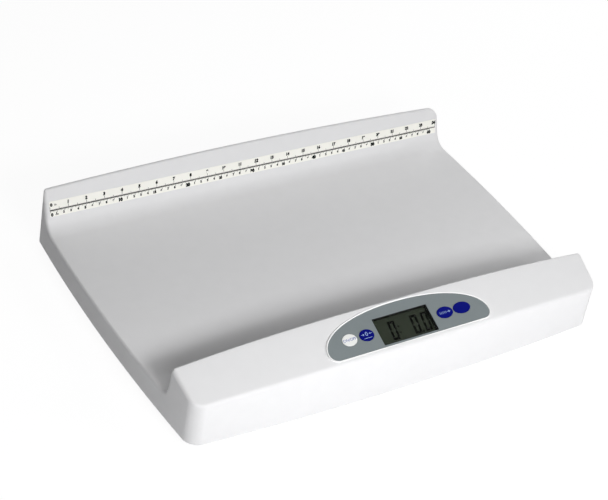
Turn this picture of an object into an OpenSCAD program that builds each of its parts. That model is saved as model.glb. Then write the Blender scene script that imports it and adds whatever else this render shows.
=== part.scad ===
// Digital baby scale: one moulded tray with a sloping control console in front
// and a low wall with a measuring strip behind, on four load cells.
// Millimetres, +Z up, front towards -Y.  The origin is on the table, under the
// middle of the scale's outline.  Lengths inside the modules are taken from the
// foot of the skirt (z) and from the front corners (y); placed() moves them.

/* [Tray] */
// Width across the front corners
front_w = 596; // [586:1:606]
// Width across the back corners
back_w = 624; // [616:1:632]
// How far each side bows out between its corners
side_bow = 8.5; // [6.5:0.1:10.5]
// Depth from the front corners to the back corners
tray_d = 414; // [406:1:424]
// How far the front bows out at its middle
front_bow = 9.8; // [8:0.1:11]
// Height of the weighing floor above the foot of the skirt
floor_z = 32; // [31:0.5:36]
// Wall thickness of the moulding
wall = 3; // [2.6:0.1:3.2]
// Radius of the hollow between console and floor
console_fillet = 30; // [20:1:34]
// Radius of the hollow between floor and back wall
back_fillet = 25; // [16:1:30]
// Rounding of the front corners seen from above
corner_r = 16; // [12:1:20]

/* [Console] */
// Height of the console's front edge at its ends
console_front_z = 58.5; // [56:0.5:61.5]
// Height of the console's rear edge at its ends
console_back_z = 79; // [77:0.5:81.5]
// Depth of the console top at its ends
console_d = 54.2; // [53:0.1:56]
// How much higher the front edge is at its middle
crown_front = 10.2; // [9:0.1:11]
// How much higher the rear edge is at its middle
crown_back = 12.2; // [11:0.1:13]

/* [Back wall] */
// Height of the back wall at its ends
back_z = 84.6; // [82:0.1:88]
// How much higher the back wall is at its middle
back_arch = 6.7; // [4:0.1:8.5]
// Lean of the back wall away from the floor, degrees
back_lean = 19.8; // [18:0.1:21]
// Length of the measuring strip
ruler_w = 611; // [600:1:612]
// Height of the measuring strip
ruler_h = 20.7; // [16:0.1:22]

/* [Panel] */
// Width of the grey panel sheet
panel_w = 235; // [231:1:236]
// Rise of its arch above the widest line
panel_rise = 43.3; // [42.5:0.1:43.6]
// Offset of the panel from the tray's middle
panel_x = 0; // [-4:0.5:4]
// Width of the raised border along the arch
border = 2; // [1.4:0.1:2.2]
// Width of the display window
window_w = 80; // [76:1:82]
// Height of the display window
window_h = 37; // [34:0.5:38]
// Offset of the display window from the panel's middle
window_x = -3.2; // [-3.6:0.1:2]
// Height of a key across the slope
key_h = 15.5; // [13:0.1:16]
// Travel of a key
key_travel = 0.8; // [0.4:0.1:0.9]

/* [Underside] */
// Distance between the left and right feet
feet_w = 274; // [260:1:290]
// Distance of the front feet from the front corners
foot_front_y = 19; // [18:0.5:24]
// Distance of the rear feet from the back corners
foot_back_y = 46; // [42:0.5:60]
// Radius of a foot
foot_r = 18; // [15:0.5:19]
// Height of the skirt's foot above the table
foot_h = 9; // [8.5:0.1:12]
// Diameter of a battery cell
cell_d = 14.5; // [13.5:0.1:14.6]
// Travel of the battery door
door_travel = 58; // [40:1:60]

/* [Hidden] */
$fn = 40;

// --- clearances
glue = 0.05;                // bonded faces
slip = 0.3;                 // sliding and drop-in parts
seat = 0.1;                 // parts that are screwed down on a face
tap = 0.1;                  // screw in its pilot hole
plug_gap = 0.4;             // end of a wire over its connector

// --- tray outline and section
side_lean = 0.018;          // draft of the side faces
front_draft = 1.5;          // setback of the console's front edge
rear_draft = 4;             // foot of the console's rear face behind its edge
wall_inset = 28.4;          // inner foot of the back wall ahead of the back corners
back_bow = 2;               // bow of the back face
back_top_t = 5;             // thickness of the back wall's top
top_web = 13;               // solid height at the top of the back wall
console_edge_r = 6;
console_rear_r = 2.5;
back_edge_r = 3;
mean_half = 300;            // half width that a station's place is measured against
crown_power = 2.6;          // flatness of the crown
mid_y = (tray_d + back_bow - front_bow) / 2;
wall_foot_y = tray_d - wall_inset;
rim_r = [corner_r, 4.5, 4, 3, 5, 18, 6];      // end rounding of each face of the section
skin_in = [wall, wall, wall, wall, wall, top_web, wall];
no_inset = [0, 0, 0, 0, 0, 0, 0];
ruler_up = 26;              // line of the measuring strip above the floor

function half_at(y) = let (t = min(max(y / tray_d, 0), 1))
    front_w / 2 + (back_w - front_w) / 2 * t + side_bow * 4 * t * (1 - t);
function side_x(y, z) = half_at(y) - side_lean * z;
function bow(u) = 1 - u * u;
function crown(u) = 1 - pow(abs(u), crown_power);
function wall_y(z) = wall_foot_y + (z - floor_z) * tan(back_lean);
function corners(u) = let (zb = back_z + back_arch * bow(u)) [
    [-front_bow * bow(u), 0],
    [front_draft - front_bow * bow(u), console_front_z + crown_front * crown(u)],
    [console_d, console_back_z + crown_back * crown(u)],
    [console_d + rear_draft, floor_z],
    [wall_foot_y, floor_z],
    [wall_y(zb), zb],
    [wall_y(zb) + back_top_t, zb],
    [tray_d + back_bow * bow(u), 0]];
function rim_drop(r, d) = d >= r ? 0 : r - sqrt(r * r - (r - d) * (r - d));
function edge_line(p, q, s) = let (v = q - p) [p + [v[1], -v[0]] / norm(v) * s, v];
function meet(a, b) = let (w = b[0] - a[0])
    a[0] + a[1] * cross(w, b[1]) / cross(a[1], b[1]);
function at_z(l, z) = l[0] + l[1] * (z - l[0][1]) / l[1][1];
function back_at(u, z) = let (c = corners(u)) at_z([c[7], c[6] - c[7]], z)[0];
function section(u, inset, z0) = let (
    p = corners(u),
    l = [for (i = [0:6]) edge_line(p[i], p[i + 1], inset[i])])
    concat([at_z(l[0], z0)], [for (i = [1:6]) meet(l[i - 1], l[i])], [at_z(l[6], z0)]);
function arc(a, b, c, r, n) = let (
    va = (a - b) / norm(a - b),
    vc = (c - b) / norm(c - b),
    half = acos(va * vc) / 2,
    t = min(r / tan(half), 0.46 * norm(a - b), 0.46 * norm(c - b)),
    m = b + (va + vc) / norm(va + vc) * t / cos(half),
    s = b + va * t - m,
    turn = (180 - 2 * half) * sign(cross(va, vc)) * -1)
    [for (k = [0:n]) let (q = turn * k / n)
        m + [s[0] * cos(q) - s[1] * sin(q), s[0] * sin(q) + s[1] * cos(q)]];
function chain(c, r) = concat(
    [c[0]],
    arc(c[0], c[1], c[2], r[0], 4),
    arc(c[1], c[2], c[3], r[1], 4),
    arc(c[2], c[3], c[4], r[2], 7),
    [for (t = [0.15:0.107:0.9]) c[3] + (c[4] - c[3]) * t],
    arc(c[3], c[4], c[5], r[3], 6),
    arc(c[4], c[5], c[6], r[4], 4),
    arc(c[5], c[6], c[7], r[4], 4),
    [c[7]]);
// fillet radii of the section at place u; the hollow behind the console tightens at its ends
function radii(u, t) = [console_edge_r - t, max(console_rear_r - t, 0.6),
    (console_fillet + t) * (1 - 0.5 * pow(abs(u), 8)), back_fillet + t, max(back_edge_r - t, 0.6)];
// stations from end to end: [place, distance from the side face, side]
function stations(r, nr, nm) = concat(
    [for (k = [0:nr - 1]) let (d = r * (1 - sin(90 - 90 * k / nr))) [d / mean_half - 1, d, -1]],
    [for (k = [0:nm]) let (s = 2 * k / nm - 1) [s * (1 - r / mean_half), r, s]],
    [for (k = [nr - 1:-1:0]) let (d = r * (1 - sin(90 - 90 * k / nr))) [1 - d / mean_half, d, 1]]);

// solid under the tray's skin, set in by t; z0 is its flat underside
module skin(t, inset, z0, nr, nm) {
    st = stations(corner_r, nr, nm);
    rows = [for (s = st)
        let (c = chain(section(s[0], [for (e = [0:6])
            inset[e] + rim_drop(max(rim_r[e] - t, 1), s[1])], z0), radii(s[0], t)))
        [for (p = c) [s[2] * (side_x(p[0], p[1]) - t - s[1]), p[0], p[1]]]];
    n = len(rows[0]);
    m = len(rows);
    feet = [for (j = [0, m - 1]) [for (i = [1:n - 2])
        [(j == 0 ? -1 : 1) * (side_x(rows[j][i][1], z0) - t), rows[j][i][1], z0]]];
    pts = concat([for (row = rows) each row], feet[0], feet[1]);
    foot_l = n * m - 1;
    foot_r = foot_l + n - 2;
    last = n * (m - 1);
    polyhedron(pts, concat(
        [for (j = [0:m - 2]) for (i = [0:n - 2]) [j * n + i, j * n + i + 1, (j + 1) * n + i + 1]],
        [for (j = [0:m - 2]) for (i = [0:n - 2]) [j * n + i, (j + 1) * n + i + 1, (j + 1) * n + i]],
        [for (i = [1:n - 3]) [i, foot_l + i, foot_l + i + 1]],
        [for (i = [1:n - 3]) [i, foot_l + i + 1, i + 1]],
        [[0, foot_l + 1, 1], [n - 2, foot_l + n - 2, n - 1]],
        [for (i = [1:n - 3]) [last + i, last + i + 1, foot_r + i + 1]],
        [for (i = [1:n - 3]) [last + i, foot_r + i + 1, foot_r + i]],
        [[last, last + 1, foot_r + 1], [last + n - 2, last + n - 1, foot_r + n - 2]],
        [concat([for (j = [0:m - 1]) j * n], [for (i = [1:n - 2]) foot_r + i],
            [for (j = [m - 1:-1:0]) j * n + n - 1], [for (i = [n - 2:-1:1]) foot_l + i])]),
        convexity = 8);
}

// plan outline of the tray at height z, set in by t
side_step = 36;
function outline(t, z) = let (st = stations(corner_r, 6, 16)) concat(
    [for (s = st) let (y = t - front_bow * bow(s[0]) + rim_drop(max(corner_r - t, 1), s[1]))
        [s[2] * (side_x(y, z) - t - s[1]), y]],
    [for (k = [1:floor(tray_d / side_step) - 1]) [side_x(k * side_step, z) - t, k * side_step]],
    [for (k = [len(st) - 1:-1:0]) let (s = st[k],
        y = back_at(s[0], z) - t - rim_drop(max(rim_r[6] - t, 1), s[1]))
        [s[2] * (side_x(y, z) - t - s[1]), y]],
    [for (k = [floor(tray_d / side_step) - 1:-1:1]) [t - side_x(k * side_step, z), k * side_step]]);

module placed() translate([0, -mid_y, foot_h]) children();
module at(p) translate(p) children();
module block(w, d, h) translate([-w / 2, -d / 2, 0]) cube([w, d, h]);
// box given by its two corners
module span(a, b) translate(a) cube(b - a);

// --- panel frame: x right, y up the slope from the front edge, z out of the console top
edge_y = front_draft - front_bow;
edge_z = console_front_z + crown_front;
tilt = atan2(console_back_z + crown_back - edge_z, console_d - edge_y);
module on_panel() translate([panel_x, edge_y, edge_z]) rotate([tilt, 0, 0]) children();

arch_y = 18;                // widest line of the panel
foot_y = 7.3;               // lower edge of the panel
arch_power = 2.1;
lower_r = 11.5;
low_border = 1;             // border along the lower edge
sheet_t = 0.5;
carrier_t = 2.5;
carrier_n = -sheet_t - carrier_t;
recess_n = carrier_n - seat;
ledge_in = 9;               // the opening's edge inside the recess
ledge_deep = 6;
ledge_n = -ledge_deep;      // underside of the ledge
key_y = 29;
window_y = 28.2;
function on_arch(e, a) = let (c = cos(a), s = sin(a))
    [sign(c) * (panel_w / 2 + e) * pow(abs(c), 2 / arch_power),
     arch_y + (panel_rise + e) * pow(abs(s), 2 / arch_power)];
post_r = 3;
peg_r = 1.8;
POSTS = [for (a = [8, 60, 120, 172]) on_arch(-ledge_in - post_r - 1.2, a)];     // board posts
PEGS = [for (a = [4, 52, 128, 176]) on_arch((border - ledge_in) / 2, a)];       // carrier pegs

// half-moon grown by e, with its lower edge grown by f
function moon(e, f) = concat(
    [for (k = [0:36]) on_arch(e, 5 * k)],
    [for (k = [1:6]) let (a = 15 * k, r = max(lower_r + e, 2))
        [r - panel_w / 2 - e - r * cos(a), arch_y - (arch_y - foot_y + f) * sin(a)]],
    [for (k = [6:-1:1]) let (a = 15 * k, r = max(lower_r + e, 2))
        [panel_w / 2 + e - r + r * cos(a), arch_y - (arch_y - foot_y + f) * sin(a)]]);
module moon_plate(e, f, n0, n1) at([0, 0, n0]) linear_extrude(n1 - n0) polygon(moon(e, f));
module oval(w, h, n0, n1) at([0, 0, n0]) linear_extrude(n1 - n0)
    polygon([for (a = [0:9:351]) [w / 2 * cos(a), h / 2 * sin(a)]]);

// --- display stack, heights along the panel's normal
frame_wall = 1.8;
glass_w = window_w + 4;
glass_h = window_h + 5;
glass_y = window_y + 1;
holder_clear = 0.2;
collar = 1;                 // black collar of the holder inside the window
glass_deep = 4.2;
glass_n = -glass_deep;      // face of the glass
glass_t = 2.8;
board_deep = 10.6;
board_n = -board_deep;      // face of the display board
board_t = 1.6;
board_w = 2 * (POSTS[0][0] + 4);
board_y = 14;
board_h = 37;
beeper_r = 7;
beeper_t = 4.5;
lens_t = 1.2;
lens_lap = 3.2;
zebra_w = 2.4;
frame_w = glass_w + 2 * frame_wall;
frame_h = glass_h + 2 * frame_wall;

// --- keys: [place, width], as shares of the zone between display holder and panel edge
key_near = 4.4;             // zone starts this far outside the display holder
key_far = [22.9, 23.2];     // and ends this far inside the panel's edge, left and right
function key_at(s, t, w) = let (
    start = frame_w / 2 + key_near + s * window_x,
    zone = panel_w / 2 - key_far[(s + 1) / 2] - start)
    [s * (start + zone * t), zone * w];
KEYS = [key_at(-1, 0.746, 0.462), key_at(-1, 0.185, 0.462), key_at(1, 0.224, 0.47), key_at(1, 0.746, 0.507)];
module at_keys() for (k = KEYS) at([k[0], key_y, 0]) children();

// --- underside heights from the foot of the skirt
pan_z = 5;
pan_t = 2.5;
pan_top = pan_z + pan_t;
pan_rib = 6;
well_in = 36;               // room of a load-cell well
well_roof = 13;
cell_plate = 32;
cell_plate_t = 2.5;
cell_frame_t = 2.5;
pad_t = 3;
cup_t = 4;
cup_post_r = 6;
rib_z = 23;                 // lower edge of the floor ribs
rib_t = 2;
rib_pitch = 80;
web_places = [0.516, 0.733, 0.917];     // console webs, as shares of the front's half width
FEET = [for (x = [-1, 1]) for (y = [foot_front_y, tray_d - foot_back_y]) [x * feet_w / 2, y]];
boss_r = 4.5;
screw_r = 1.5;
screw_l = 13;
head_r = 3.4;
head_h = 2;
small_r = 1;                // screws of the boards
small_l = 5.5;
small_head_r = 2.2;
small_head_h = 1.4;
pilot_r = screw_r + tap;
pan_gap = 0.8;
screw_in = 15;              // screw bosses in from the skirt
boss_ys = [0.13, 0.5, 0.9];
BOSSES = concat(
    [for (s = [-1, 1]) for (t = boss_ys) [s * (side_x(t * tray_d, 0) - screw_in), t * tray_d]],
    [for (s = [-1, 1]) [s * 60, tray_d - 14]],
    [for (s = [-1, 1]) [s * 180, 10]]);

// --- battery bay in the pan
bay_w = 4 * cell_d + 5.4;
bay_l = 60;
bay_y = tray_d / 2 - 6;
bay_wall = 2;
bay_roof = pan_z + cell_d + 1;
cell_l = 50.5;
plate_t = 0.5;
spring_l = bay_l - cell_l - 2 * plate_t - 4 * glue;
cell_pitch = cell_d + 0.8;
cell_z = pan_z + 0.1 + cell_d / 2;
door_t = 1.6;
door_z = pan_z - 0.2 - door_t;
door_w = bay_w + 12;
door_y = bay_y - 4;
door_l = bay_l + 8;
rail_w = 2.5;
rail_lip = 2.4;
rail_z = door_z - slip - 1.4;

// --- boards on the pan
ribbon_x = board_w / 2 - 17.4;
main_x = ribbon_x + 10;
main_y = bay_y - 41;
main_w = 64;
main_d = 44;
main_z = pan_top + 3;
main_t = 1.6;
MAIN_POSTS = [for (x = [-1, 1]) for (y = [-1, 1])
    [main_x + x * (main_w / 2 - 5), main_y + y * (main_d / 2 - 5)]];
lead_y = bay_y + 14;        // where the battery leads leave the bay
lead_z = 15;
lead_gap = 4;
lead_r = 0.7;
wire_z = 18.2;              // level of the wires above the pan
wire_r = 1.1;
ribbon_w = 12;
ribbon_t = 1.2;
ribbon_z = wire_z - 2.8;    // it runs under the cell wires
plug_y = 24;                // ribbon connector on the display board
plug_h = 4;
plug_n = board_n - board_t - glue - plug_h;
ribbon_y = edge_y + plug_y * cos(tilt) - plug_n * sin(tilt);
ribbon_top = edge_z + plug_y * sin(tilt) + plug_n * cos(tilt) - plug_gap;
jack_x = feet_w / 2 + 43;
jack_z = 14;
jack_r = 5.4;
jack_l = 14;
back_in = back_at(jack_x / mean_half, jack_z + 6) - wall - slip;

// screw along +z, head below z = 0
module screw(r, l, hr, hh) {
    cylinder(r = r, h = l);
    at([0, 0, -hh]) difference() {
        cylinder(r = hr, h = hh);
        for (a = [0, 90]) rotate(a) at([0, 0, -1]) block(hr * 1.2, 0.8, 1 + hh * 0.4);
    }
}
// run of round wire through a list of points
module wire(p, r) for (i = [0:len(p) - 2]) hull() {
    translate(p[i]) sphere(r = r, $fn = 8);
    translate(p[i + 1]) sphere(r = r, $fn = 8);
}

// ================= moulded tray =================

module floor_ribs() {
    for (k = [-3:3])
        span([k * rib_pitch - rib_t / 2, console_d + 8, rib_z],
             [k * rib_pitch + rib_t / 2, tray_d, back_z + 9]);
    for (t = [0.32, 0.49, 0.68, 0.85])
        span([-back_w / 2, t * tray_d, rib_z], [back_w / 2, t * tray_d + rib_t, floor_z - 1]);
    for (s = [-1, 1]) for (t = web_places) let (x = s * t * front_w / 2)
        span([x - rib_t / 2, -20, rib_z - 3], [x + rib_t / 2, console_d + 10, console_back_z + 20]);
}
module bosses() for (b = BOSSES) at([b[0], b[1], pan_top + seat]) hull() {
    cylinder(r = boss_r, h = 1, $fn = 24);
    at([0, 0, floor_z]) cylinder(r = boss_r + 0.7, h = 1.9 * floor_z, $fn = 24);
}
module tray_shell() color([0.93, 0.93, 0.92]) placed() difference() {
    skin(0, no_inset, 0, 6, 16);
    difference() {
        skin(wall, skin_in, -1, 4, 8);
        floor_ribs();
        bosses();
        on_panel() span([-panel_w / 2 - 8, 3.5, ledge_n], [panel_w / 2 + 8, 70, 10]);
    }
    for (b = BOSSES) at([b[0], b[1], 0]) cylinder(r = pilot_r, h = rib_z - 3, $fn = 24);
    on_panel() {
        moon_plate(border + slip, low_border + slip, recess_n, 20);
        moon_plate(-ledge_in, -ledge_in, ledge_n - 4, recess_n + 1);
        at([window_x, glass_y, ledge_n - 4])
            block(frame_w + 2 * slip, frame_h + 2 * slip, recess_n - ledge_n + 5);
        for (p = PEGS) at([p[0], p[1], ledge_n - 4])
            cylinder(r = peg_r + slip, h = recess_n - ledge_n + 5, $fn = 24);
    }
    at([jack_x, tray_d + 5, jack_z]) rotate([90, 0, 0]) cylinder(r = jack_r + slip, h = 15, $fn = 32);
}

module ruler_strip() color([0.96, 0.95, 0.9]) placed()
    translate([0, wall_y(floor_z + ruler_up), floor_z + ruler_up]) rotate([90 - back_lean, 0, 0])
    span([-ruler_w / 2, -0.42 * ruler_h, glue], [ruler_w / 2, 0.58 * ruler_h, glue + 0.3]);

// ================= control panel =================

module panel_carrier() color([0.95, 0.95, 0.94]) placed() on_panel() {
    difference() {
        moon_plate(border, low_border, carrier_n, 0.4);
        moon_plate(glue, glue, -sheet_t, 5);
        at([window_x, window_y, -9])
            block(window_w + 2 * (collar + holder_clear), window_h + 2 * (collar + holder_clear), 10);
        at([window_x, window_y, -sheet_t - lens_t - glue])
            block(window_w + 2 * lens_lap, window_h + 2 * lens_lap, 10);
        for (k = KEYS) at([k[0], key_y, 0]) oval(k[1] + 2 * slip, key_h + 2 * slip, -9, 1);
    }
    for (p = POSTS) at([p[0], p[1], board_n + seat]) difference() {
        cylinder(r = post_r, h = carrier_n - board_n);
        at([0, 0, -1]) cylinder(r = 1.1, h = 6);
    }
    for (p = PEGS) at([p[0], p[1], ledge_n - 2]) cylinder(r = peg_r, h = carrier_n - ledge_n + 2.2);
}

module panel_sheet() color([0.5, 0.53, 0.53]) placed() on_panel() difference() {
    moon_plate(0, 0, glue - sheet_t, 0);
    at([window_x, window_y, -2]) block(window_w, window_h, 3);
    for (k = KEYS) at([k[0], key_y, 0]) oval(k[1] + 2 * slip, key_h + 2 * slip, -2, 1);
}

module display_lens() color([0.8, 0.85, 0.85]) placed() on_panel() at([window_x, window_y, -sheet_t - lens_t])
    block(window_w + 2 * (lens_lap - slip), window_h + 2 * (lens_lap - slip), lens_t);

module lcd_frame() color([0.12, 0.12, 0.12]) placed() on_panel() at([window_x, glass_y, 0]) difference() {
    union() {
        at([0, 0, board_n + seat]) block(frame_w, frame_h, carrier_n - seat - board_n - seat);
        at([0, window_y - glass_y, carrier_n - 1])
            block(window_w + 2 * collar, window_h + 2 * collar, 1 - carrier_n - sheet_t - lens_t - seat);
    }
    at([0, 0, -20]) block(glass_w + holder_clear, glass_h + holder_clear, 20 + glass_n + glue);
    at([0, window_y - glass_y, -20]) block(window_w, window_h, 40);
}

module lcd_glass() color([0.3, 0.33, 0.27]) placed() on_panel()
    at([window_x, glass_y, glass_n - glass_t]) block(glass_w, glass_h, glass_t);

module lcd_connectors() color([0.3, 0.3, 0.32]) placed() on_panel() for (s = [-1, 1])
    at([window_x, glass_y + s * (glass_h / 2 - zebra_w), board_n + glue])
    block(glass_w - 6, zebra_w, glass_n - glass_t - board_n - 2 * glue);

// oval cap with two ears that hold it under the carrier, and a stem down to its switch
switch_h = 3.4;
plunger_rest = 0.35;        // plunger left proud when the key is down
stem_n = board_n + switch_h + key_travel + plunger_rest;
ear = 1.6;
module key_cap(k) at([k[0], key_y, 0]) {
    oval(k[1], key_h, carrier_n - 1.4, 0.6);
    at([0, 0, 0.6]) linear_extrude(0.3, scale = 0.94)
        polygon([for (a = [0:9:351]) [k[1] / 2 * cos(a), key_h / 2 * sin(a)]]);
    at([0, 0, carrier_n - 1.4]) block(8, key_h + 2 * ear, 1.4 - 2 * seat);
    at([0, 0, stem_n]) cylinder(r = 2.4, h = carrier_n - stem_n);
}
module key_power() color([0.95, 0.95, 0.93]) placed() on_panel() key_cap(KEYS[0]);
module key_clear() color([0.06, 0.16, 0.65]) placed() on_panel() key_cap(KEYS[1]);
module key_release() color([0.06, 0.16, 0.65]) placed() on_panel() key_cap(KEYS[2]);
module key_units() color([0.06, 0.16, 0.65]) placed() on_panel() key_cap(KEYS[3]);

plunger_r = 1.7;
module plunger(k) at([k[0], key_y, board_n + 2]) cylinder(r = plunger_r, h = stem_n - board_n - 2 - glue);
module plunger_power() color([0.85, 0.3, 0.2]) placed() on_panel() plunger(KEYS[0]);
module plunger_clear() color([0.85, 0.3, 0.2]) placed() on_panel() plunger(KEYS[1]);
module plunger_release() color([0.85, 0.3, 0.2]) placed() on_panel() plunger(KEYS[2]);
module plunger_units() color([0.85, 0.3, 0.2]) placed() on_panel() plunger(KEYS[3]);

module switch_bodies() color([0.2, 0.2, 0.22]) placed() on_panel() at_keys() at([0, 0, board_n + glue])
    difference() {
        block(6, 6, switch_h);
        at([0, 0, 0.8]) cylinder(r = plunger_r + 0.1, h = 5);
    }

module display_board() color([0.1, 0.4, 0.2]) placed() on_panel() difference() {
    span([-board_w / 2, board_y, board_n - board_t], [board_w / 2, board_y + board_h, board_n]);
    for (p = POSTS) at([p[0], p[1], -20]) cylinder(r = 1.4, h = 20);
}

module display_chips() color([0.1, 0.1, 0.1]) placed() on_panel() {
    under = board_n - board_t - glue;
    at([0, 30, under - 1.4]) block(14, 14, 1.4);
    at([-34, 26, under - 1.2]) block(8, 5, 1.2);
    at([ribbon_x - panel_x, plug_y, plug_n]) block(16, 6, plug_h);
    for (x = [24:8:48]) at([x, 22, under - 1]) block(3.2, 1.6, 1);
    at([-20, 22, under - 3.5]) cylinder(r = 1.6, h = 3.5);
}

module board_screws() color([0.7, 0.7, 0.72]) placed() on_panel() for (p = POSTS)
    at([p[0], p[1], board_n - board_t - seat]) screw(small_r, small_l, small_head_r, small_head_h);

module push_nuts() color([0.7, 0.7, 0.72]) placed() on_panel() for (p = PEGS)
    at([p[0], p[1], ledge_n - seat - 0.6]) difference() {
        cylinder(r = 4, h = 0.6);
        at([0, 0, -1]) cylinder(r = peg_r + glue, h = 3);
    }

// ================= underside =================

module base_pan() color([0.85, 0.85, 0.84]) placed() difference() {
    union() {
        at([0, 0, pan_z]) linear_extrude(pan_t) polygon(outline(wall + pan_gap, pan_top));
        for (f = FEET) at([f[0], f[1], pan_z]) block(well_in + 4, well_in + 4, well_roof - pan_z + 2.5);
        span([-bay_w / 2 - bay_wall, bay_y - bay_wall, pan_z],
             [bay_w / 2 + bay_wall, bay_y + bay_l + bay_wall, bay_roof + 2]);
        for (s = [-1, 1]) for (e = [63, 103]) let (x = s * (feet_w / 2 + e))
            span([x - 1, foot_front_y + 71, pan_z], [x + 1, tray_d - 64, pan_top + pan_rib]);
        for (y = [bay_y - 91, bay_y + bay_l + 39])
            span([17 - feet_w / 2, y, pan_z], [feet_w / 2 - 17, y + 2, pan_top + pan_rib]);
        for (p = MAIN_POSTS) at([p[0], p[1], pan_z]) cylinder(r = 3, h = main_z - seat - pan_z);
        for (s = [-1, 1]) scale([s, 1, 1]) {
            span([door_w / 2 + slip, door_y, rail_z],
                 [door_w / 2 + slip + rail_w, door_y + door_l + door_travel, pan_z + 1]);
            span([door_w / 2 + slip - rail_lip, door_y, rail_z],
                 [door_w / 2 + slip + 1, door_y + door_l + door_travel, door_z - slip]);
        }
    }
    for (f = FEET) {
        at([f[0], f[1], pan_z - 1]) block(well_in, well_in, well_roof - pan_z + 1);
        at([f[0], f[1], 0]) cylinder(r = 2.6, h = 30);
    }
    span([-bay_w / 2, bay_y, pan_z - 1], [bay_w / 2, bay_y + bay_l, bay_roof]);
    for (b = BOSSES) at([b[0], b[1], 0]) cylinder(r = screw_r + 0.5, h = 20);
    for (p = MAIN_POSTS) at([p[0], p[1], pan_z + 1]) cylinder(r = 1.1, h = 20);
    span([bay_w / 2 - 1, lead_y - 3.5, lead_z - 2], [bay_w / 2 + 5, lead_y + 3.5, lead_z + 2]);
}

module pan_screws() color([0.7, 0.7, 0.72]) placed() for (b = BOSSES)
    at([b[0], b[1], pan_z - seat]) screw(screw_r, screw_l, head_r, head_h);

module battery_door() color([0.85, 0.85, 0.84]) placed() {
    span([-door_w / 2, door_y, door_z], [door_w / 2, door_y + door_l, door_z + door_t]);
    for (k = [0:3]) span([-12, door_y + 6 + 3 * k, door_z - 0.7], [12, door_y + 7.2 + 3 * k, door_z + 0.5]);
}

module at_cells() for (i = [0:3]) at([(i - 1.5) * cell_pitch, bay_y + bay_l / 2, cell_z])
    rotate([i % 2 == 0 ? -90 : 90, 0, 0]) children();
cell_lift = bay_l / 2 - plate_t - 2 * glue - cell_l;
module battery_cells() color([0.75, 0.6, 0.25]) placed() at_cells() at([0, 0, cell_lift]) {
    cylinder(r = cell_d / 2, h = cell_l - 1.2);
    cylinder(r = 2.7, h = cell_l);
}
// bellows outline: a coil spring seen as one turned body
module contact_springs() color([0.8, 0.8, 0.8]) placed() at_cells()
    at([0, 0, cell_lift - glue - spring_l + glue]) rotate_extrude() polygon(concat(
        [for (k = [0:12]) [k % 2 == 0 ? 3.2 : 4.4, (spring_l - glue) * k / 12]],
        [for (k = [12:-1:0]) [k % 2 == 0 ? 2.2 : 3.4, (spring_l - glue) * k / 12]]));
module contact_plates() color([0.8, 0.75, 0.6]) placed() at([0, bay_y, cell_z]) {
    for (s = [0, 1]) at([0, s * bay_l + (s == 0 ? glue : -glue - plate_t), 0]) {
        if (s == 0) for (x = [-1, 1]) span([x * cell_pitch - cell_pitch + 1, 0, -5],
            [x * cell_pitch + cell_pitch - 1, plate_t, 5]);
        if (s == 1) {
            span([-cell_pitch + 1, 0, -5], [cell_pitch - 1, plate_t, 5]);
            for (x = [-1.5, 1.5]) span([x * cell_pitch - 5, 0, -5], [x * cell_pitch + 5, plate_t, 5]);
        }
    }
}

module main_board() color([0.1, 0.4, 0.2]) placed() difference() {
    at([main_x, main_y, main_z]) block(main_w, main_d, main_t);
    for (p = MAIN_POSTS) at([p[0], p[1], 0]) cylinder(r = 1.4, h = 20);
}
module main_chips() color([0.1, 0.1, 0.1]) placed() {
    face = main_z + main_t + glue;
    at([main_x - 4, main_y - 2, face]) block(12, 12, 1.4);
    at([main_x + 16, main_y + 2, face]) block(7, 5, 1.2);
    at([ribbon_x, main_y - 15, face]) block(14, 6, 3);
    at([main_x - 18, main_y + 8, face]) block(6, 10, 3.2);
    at([main_x - 22, main_y - 10, face]) block(7, 5, 3.2);
    at([main_x + 8, main_y + 16, face]) block(16, 5, 3.2);
    at([main_x + 12, main_y - 14, face]) cylinder(r = 2.5, h = 3.2);
}
module main_screws() color([0.7, 0.7, 0.72]) placed() for (p = MAIN_POSTS)
    at([p[0], p[1], main_z + main_t + seat]) rotate([180, 0, 0])
    screw(small_r, small_l - 1, small_head_r, small_head_h);

// strain-gauge plate: a square frame with a tongue held on one side
module load_cells() color([0.75, 0.75, 0.76]) placed() for (f = FEET)
    at([f[0], f[1], well_roof - cell_frame_t - cell_plate_t - 2 * glue]) difference() {
        block(cell_plate, cell_plate, cell_plate_t);
        for (s = [-1, 1]) at([s * 10, 1, -1]) block(2, 22, 9);
        at([0, -9, -1]) block(22, 2, 9);
    }
module cell_frames() color([0.9, 0.9, 0.88]) placed() for (f = FEET)
    at([f[0], f[1], well_roof - cell_frame_t - glue]) difference() {
        block(well_in - 2 * slip, well_in - 2 * slip, cell_frame_t);
        at([0, 0, -1]) block(cell_plate - 6, cell_plate - 6, 9);
    }
// cup with a post that carries the tongue of its load cell
module foot_cups() color([0.3, 0.3, 0.32]) placed() for (f = FEET)
    at([f[0], f[1], pad_t + glue - foot_h]) {
        cylinder(r = foot_r - 0.5, h = cup_t);
        cylinder(r = cup_post_r, h = well_roof - cell_frame_t - cell_plate_t - pad_t - 4 * glue + foot_h);
    }
module foot_pads() color([0.15, 0.15, 0.16]) placed() for (f = FEET)
    at([f[0], f[1], -foot_h]) cylinder(r = foot_r, h = pad_t);

// ================= wiring =================

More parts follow.
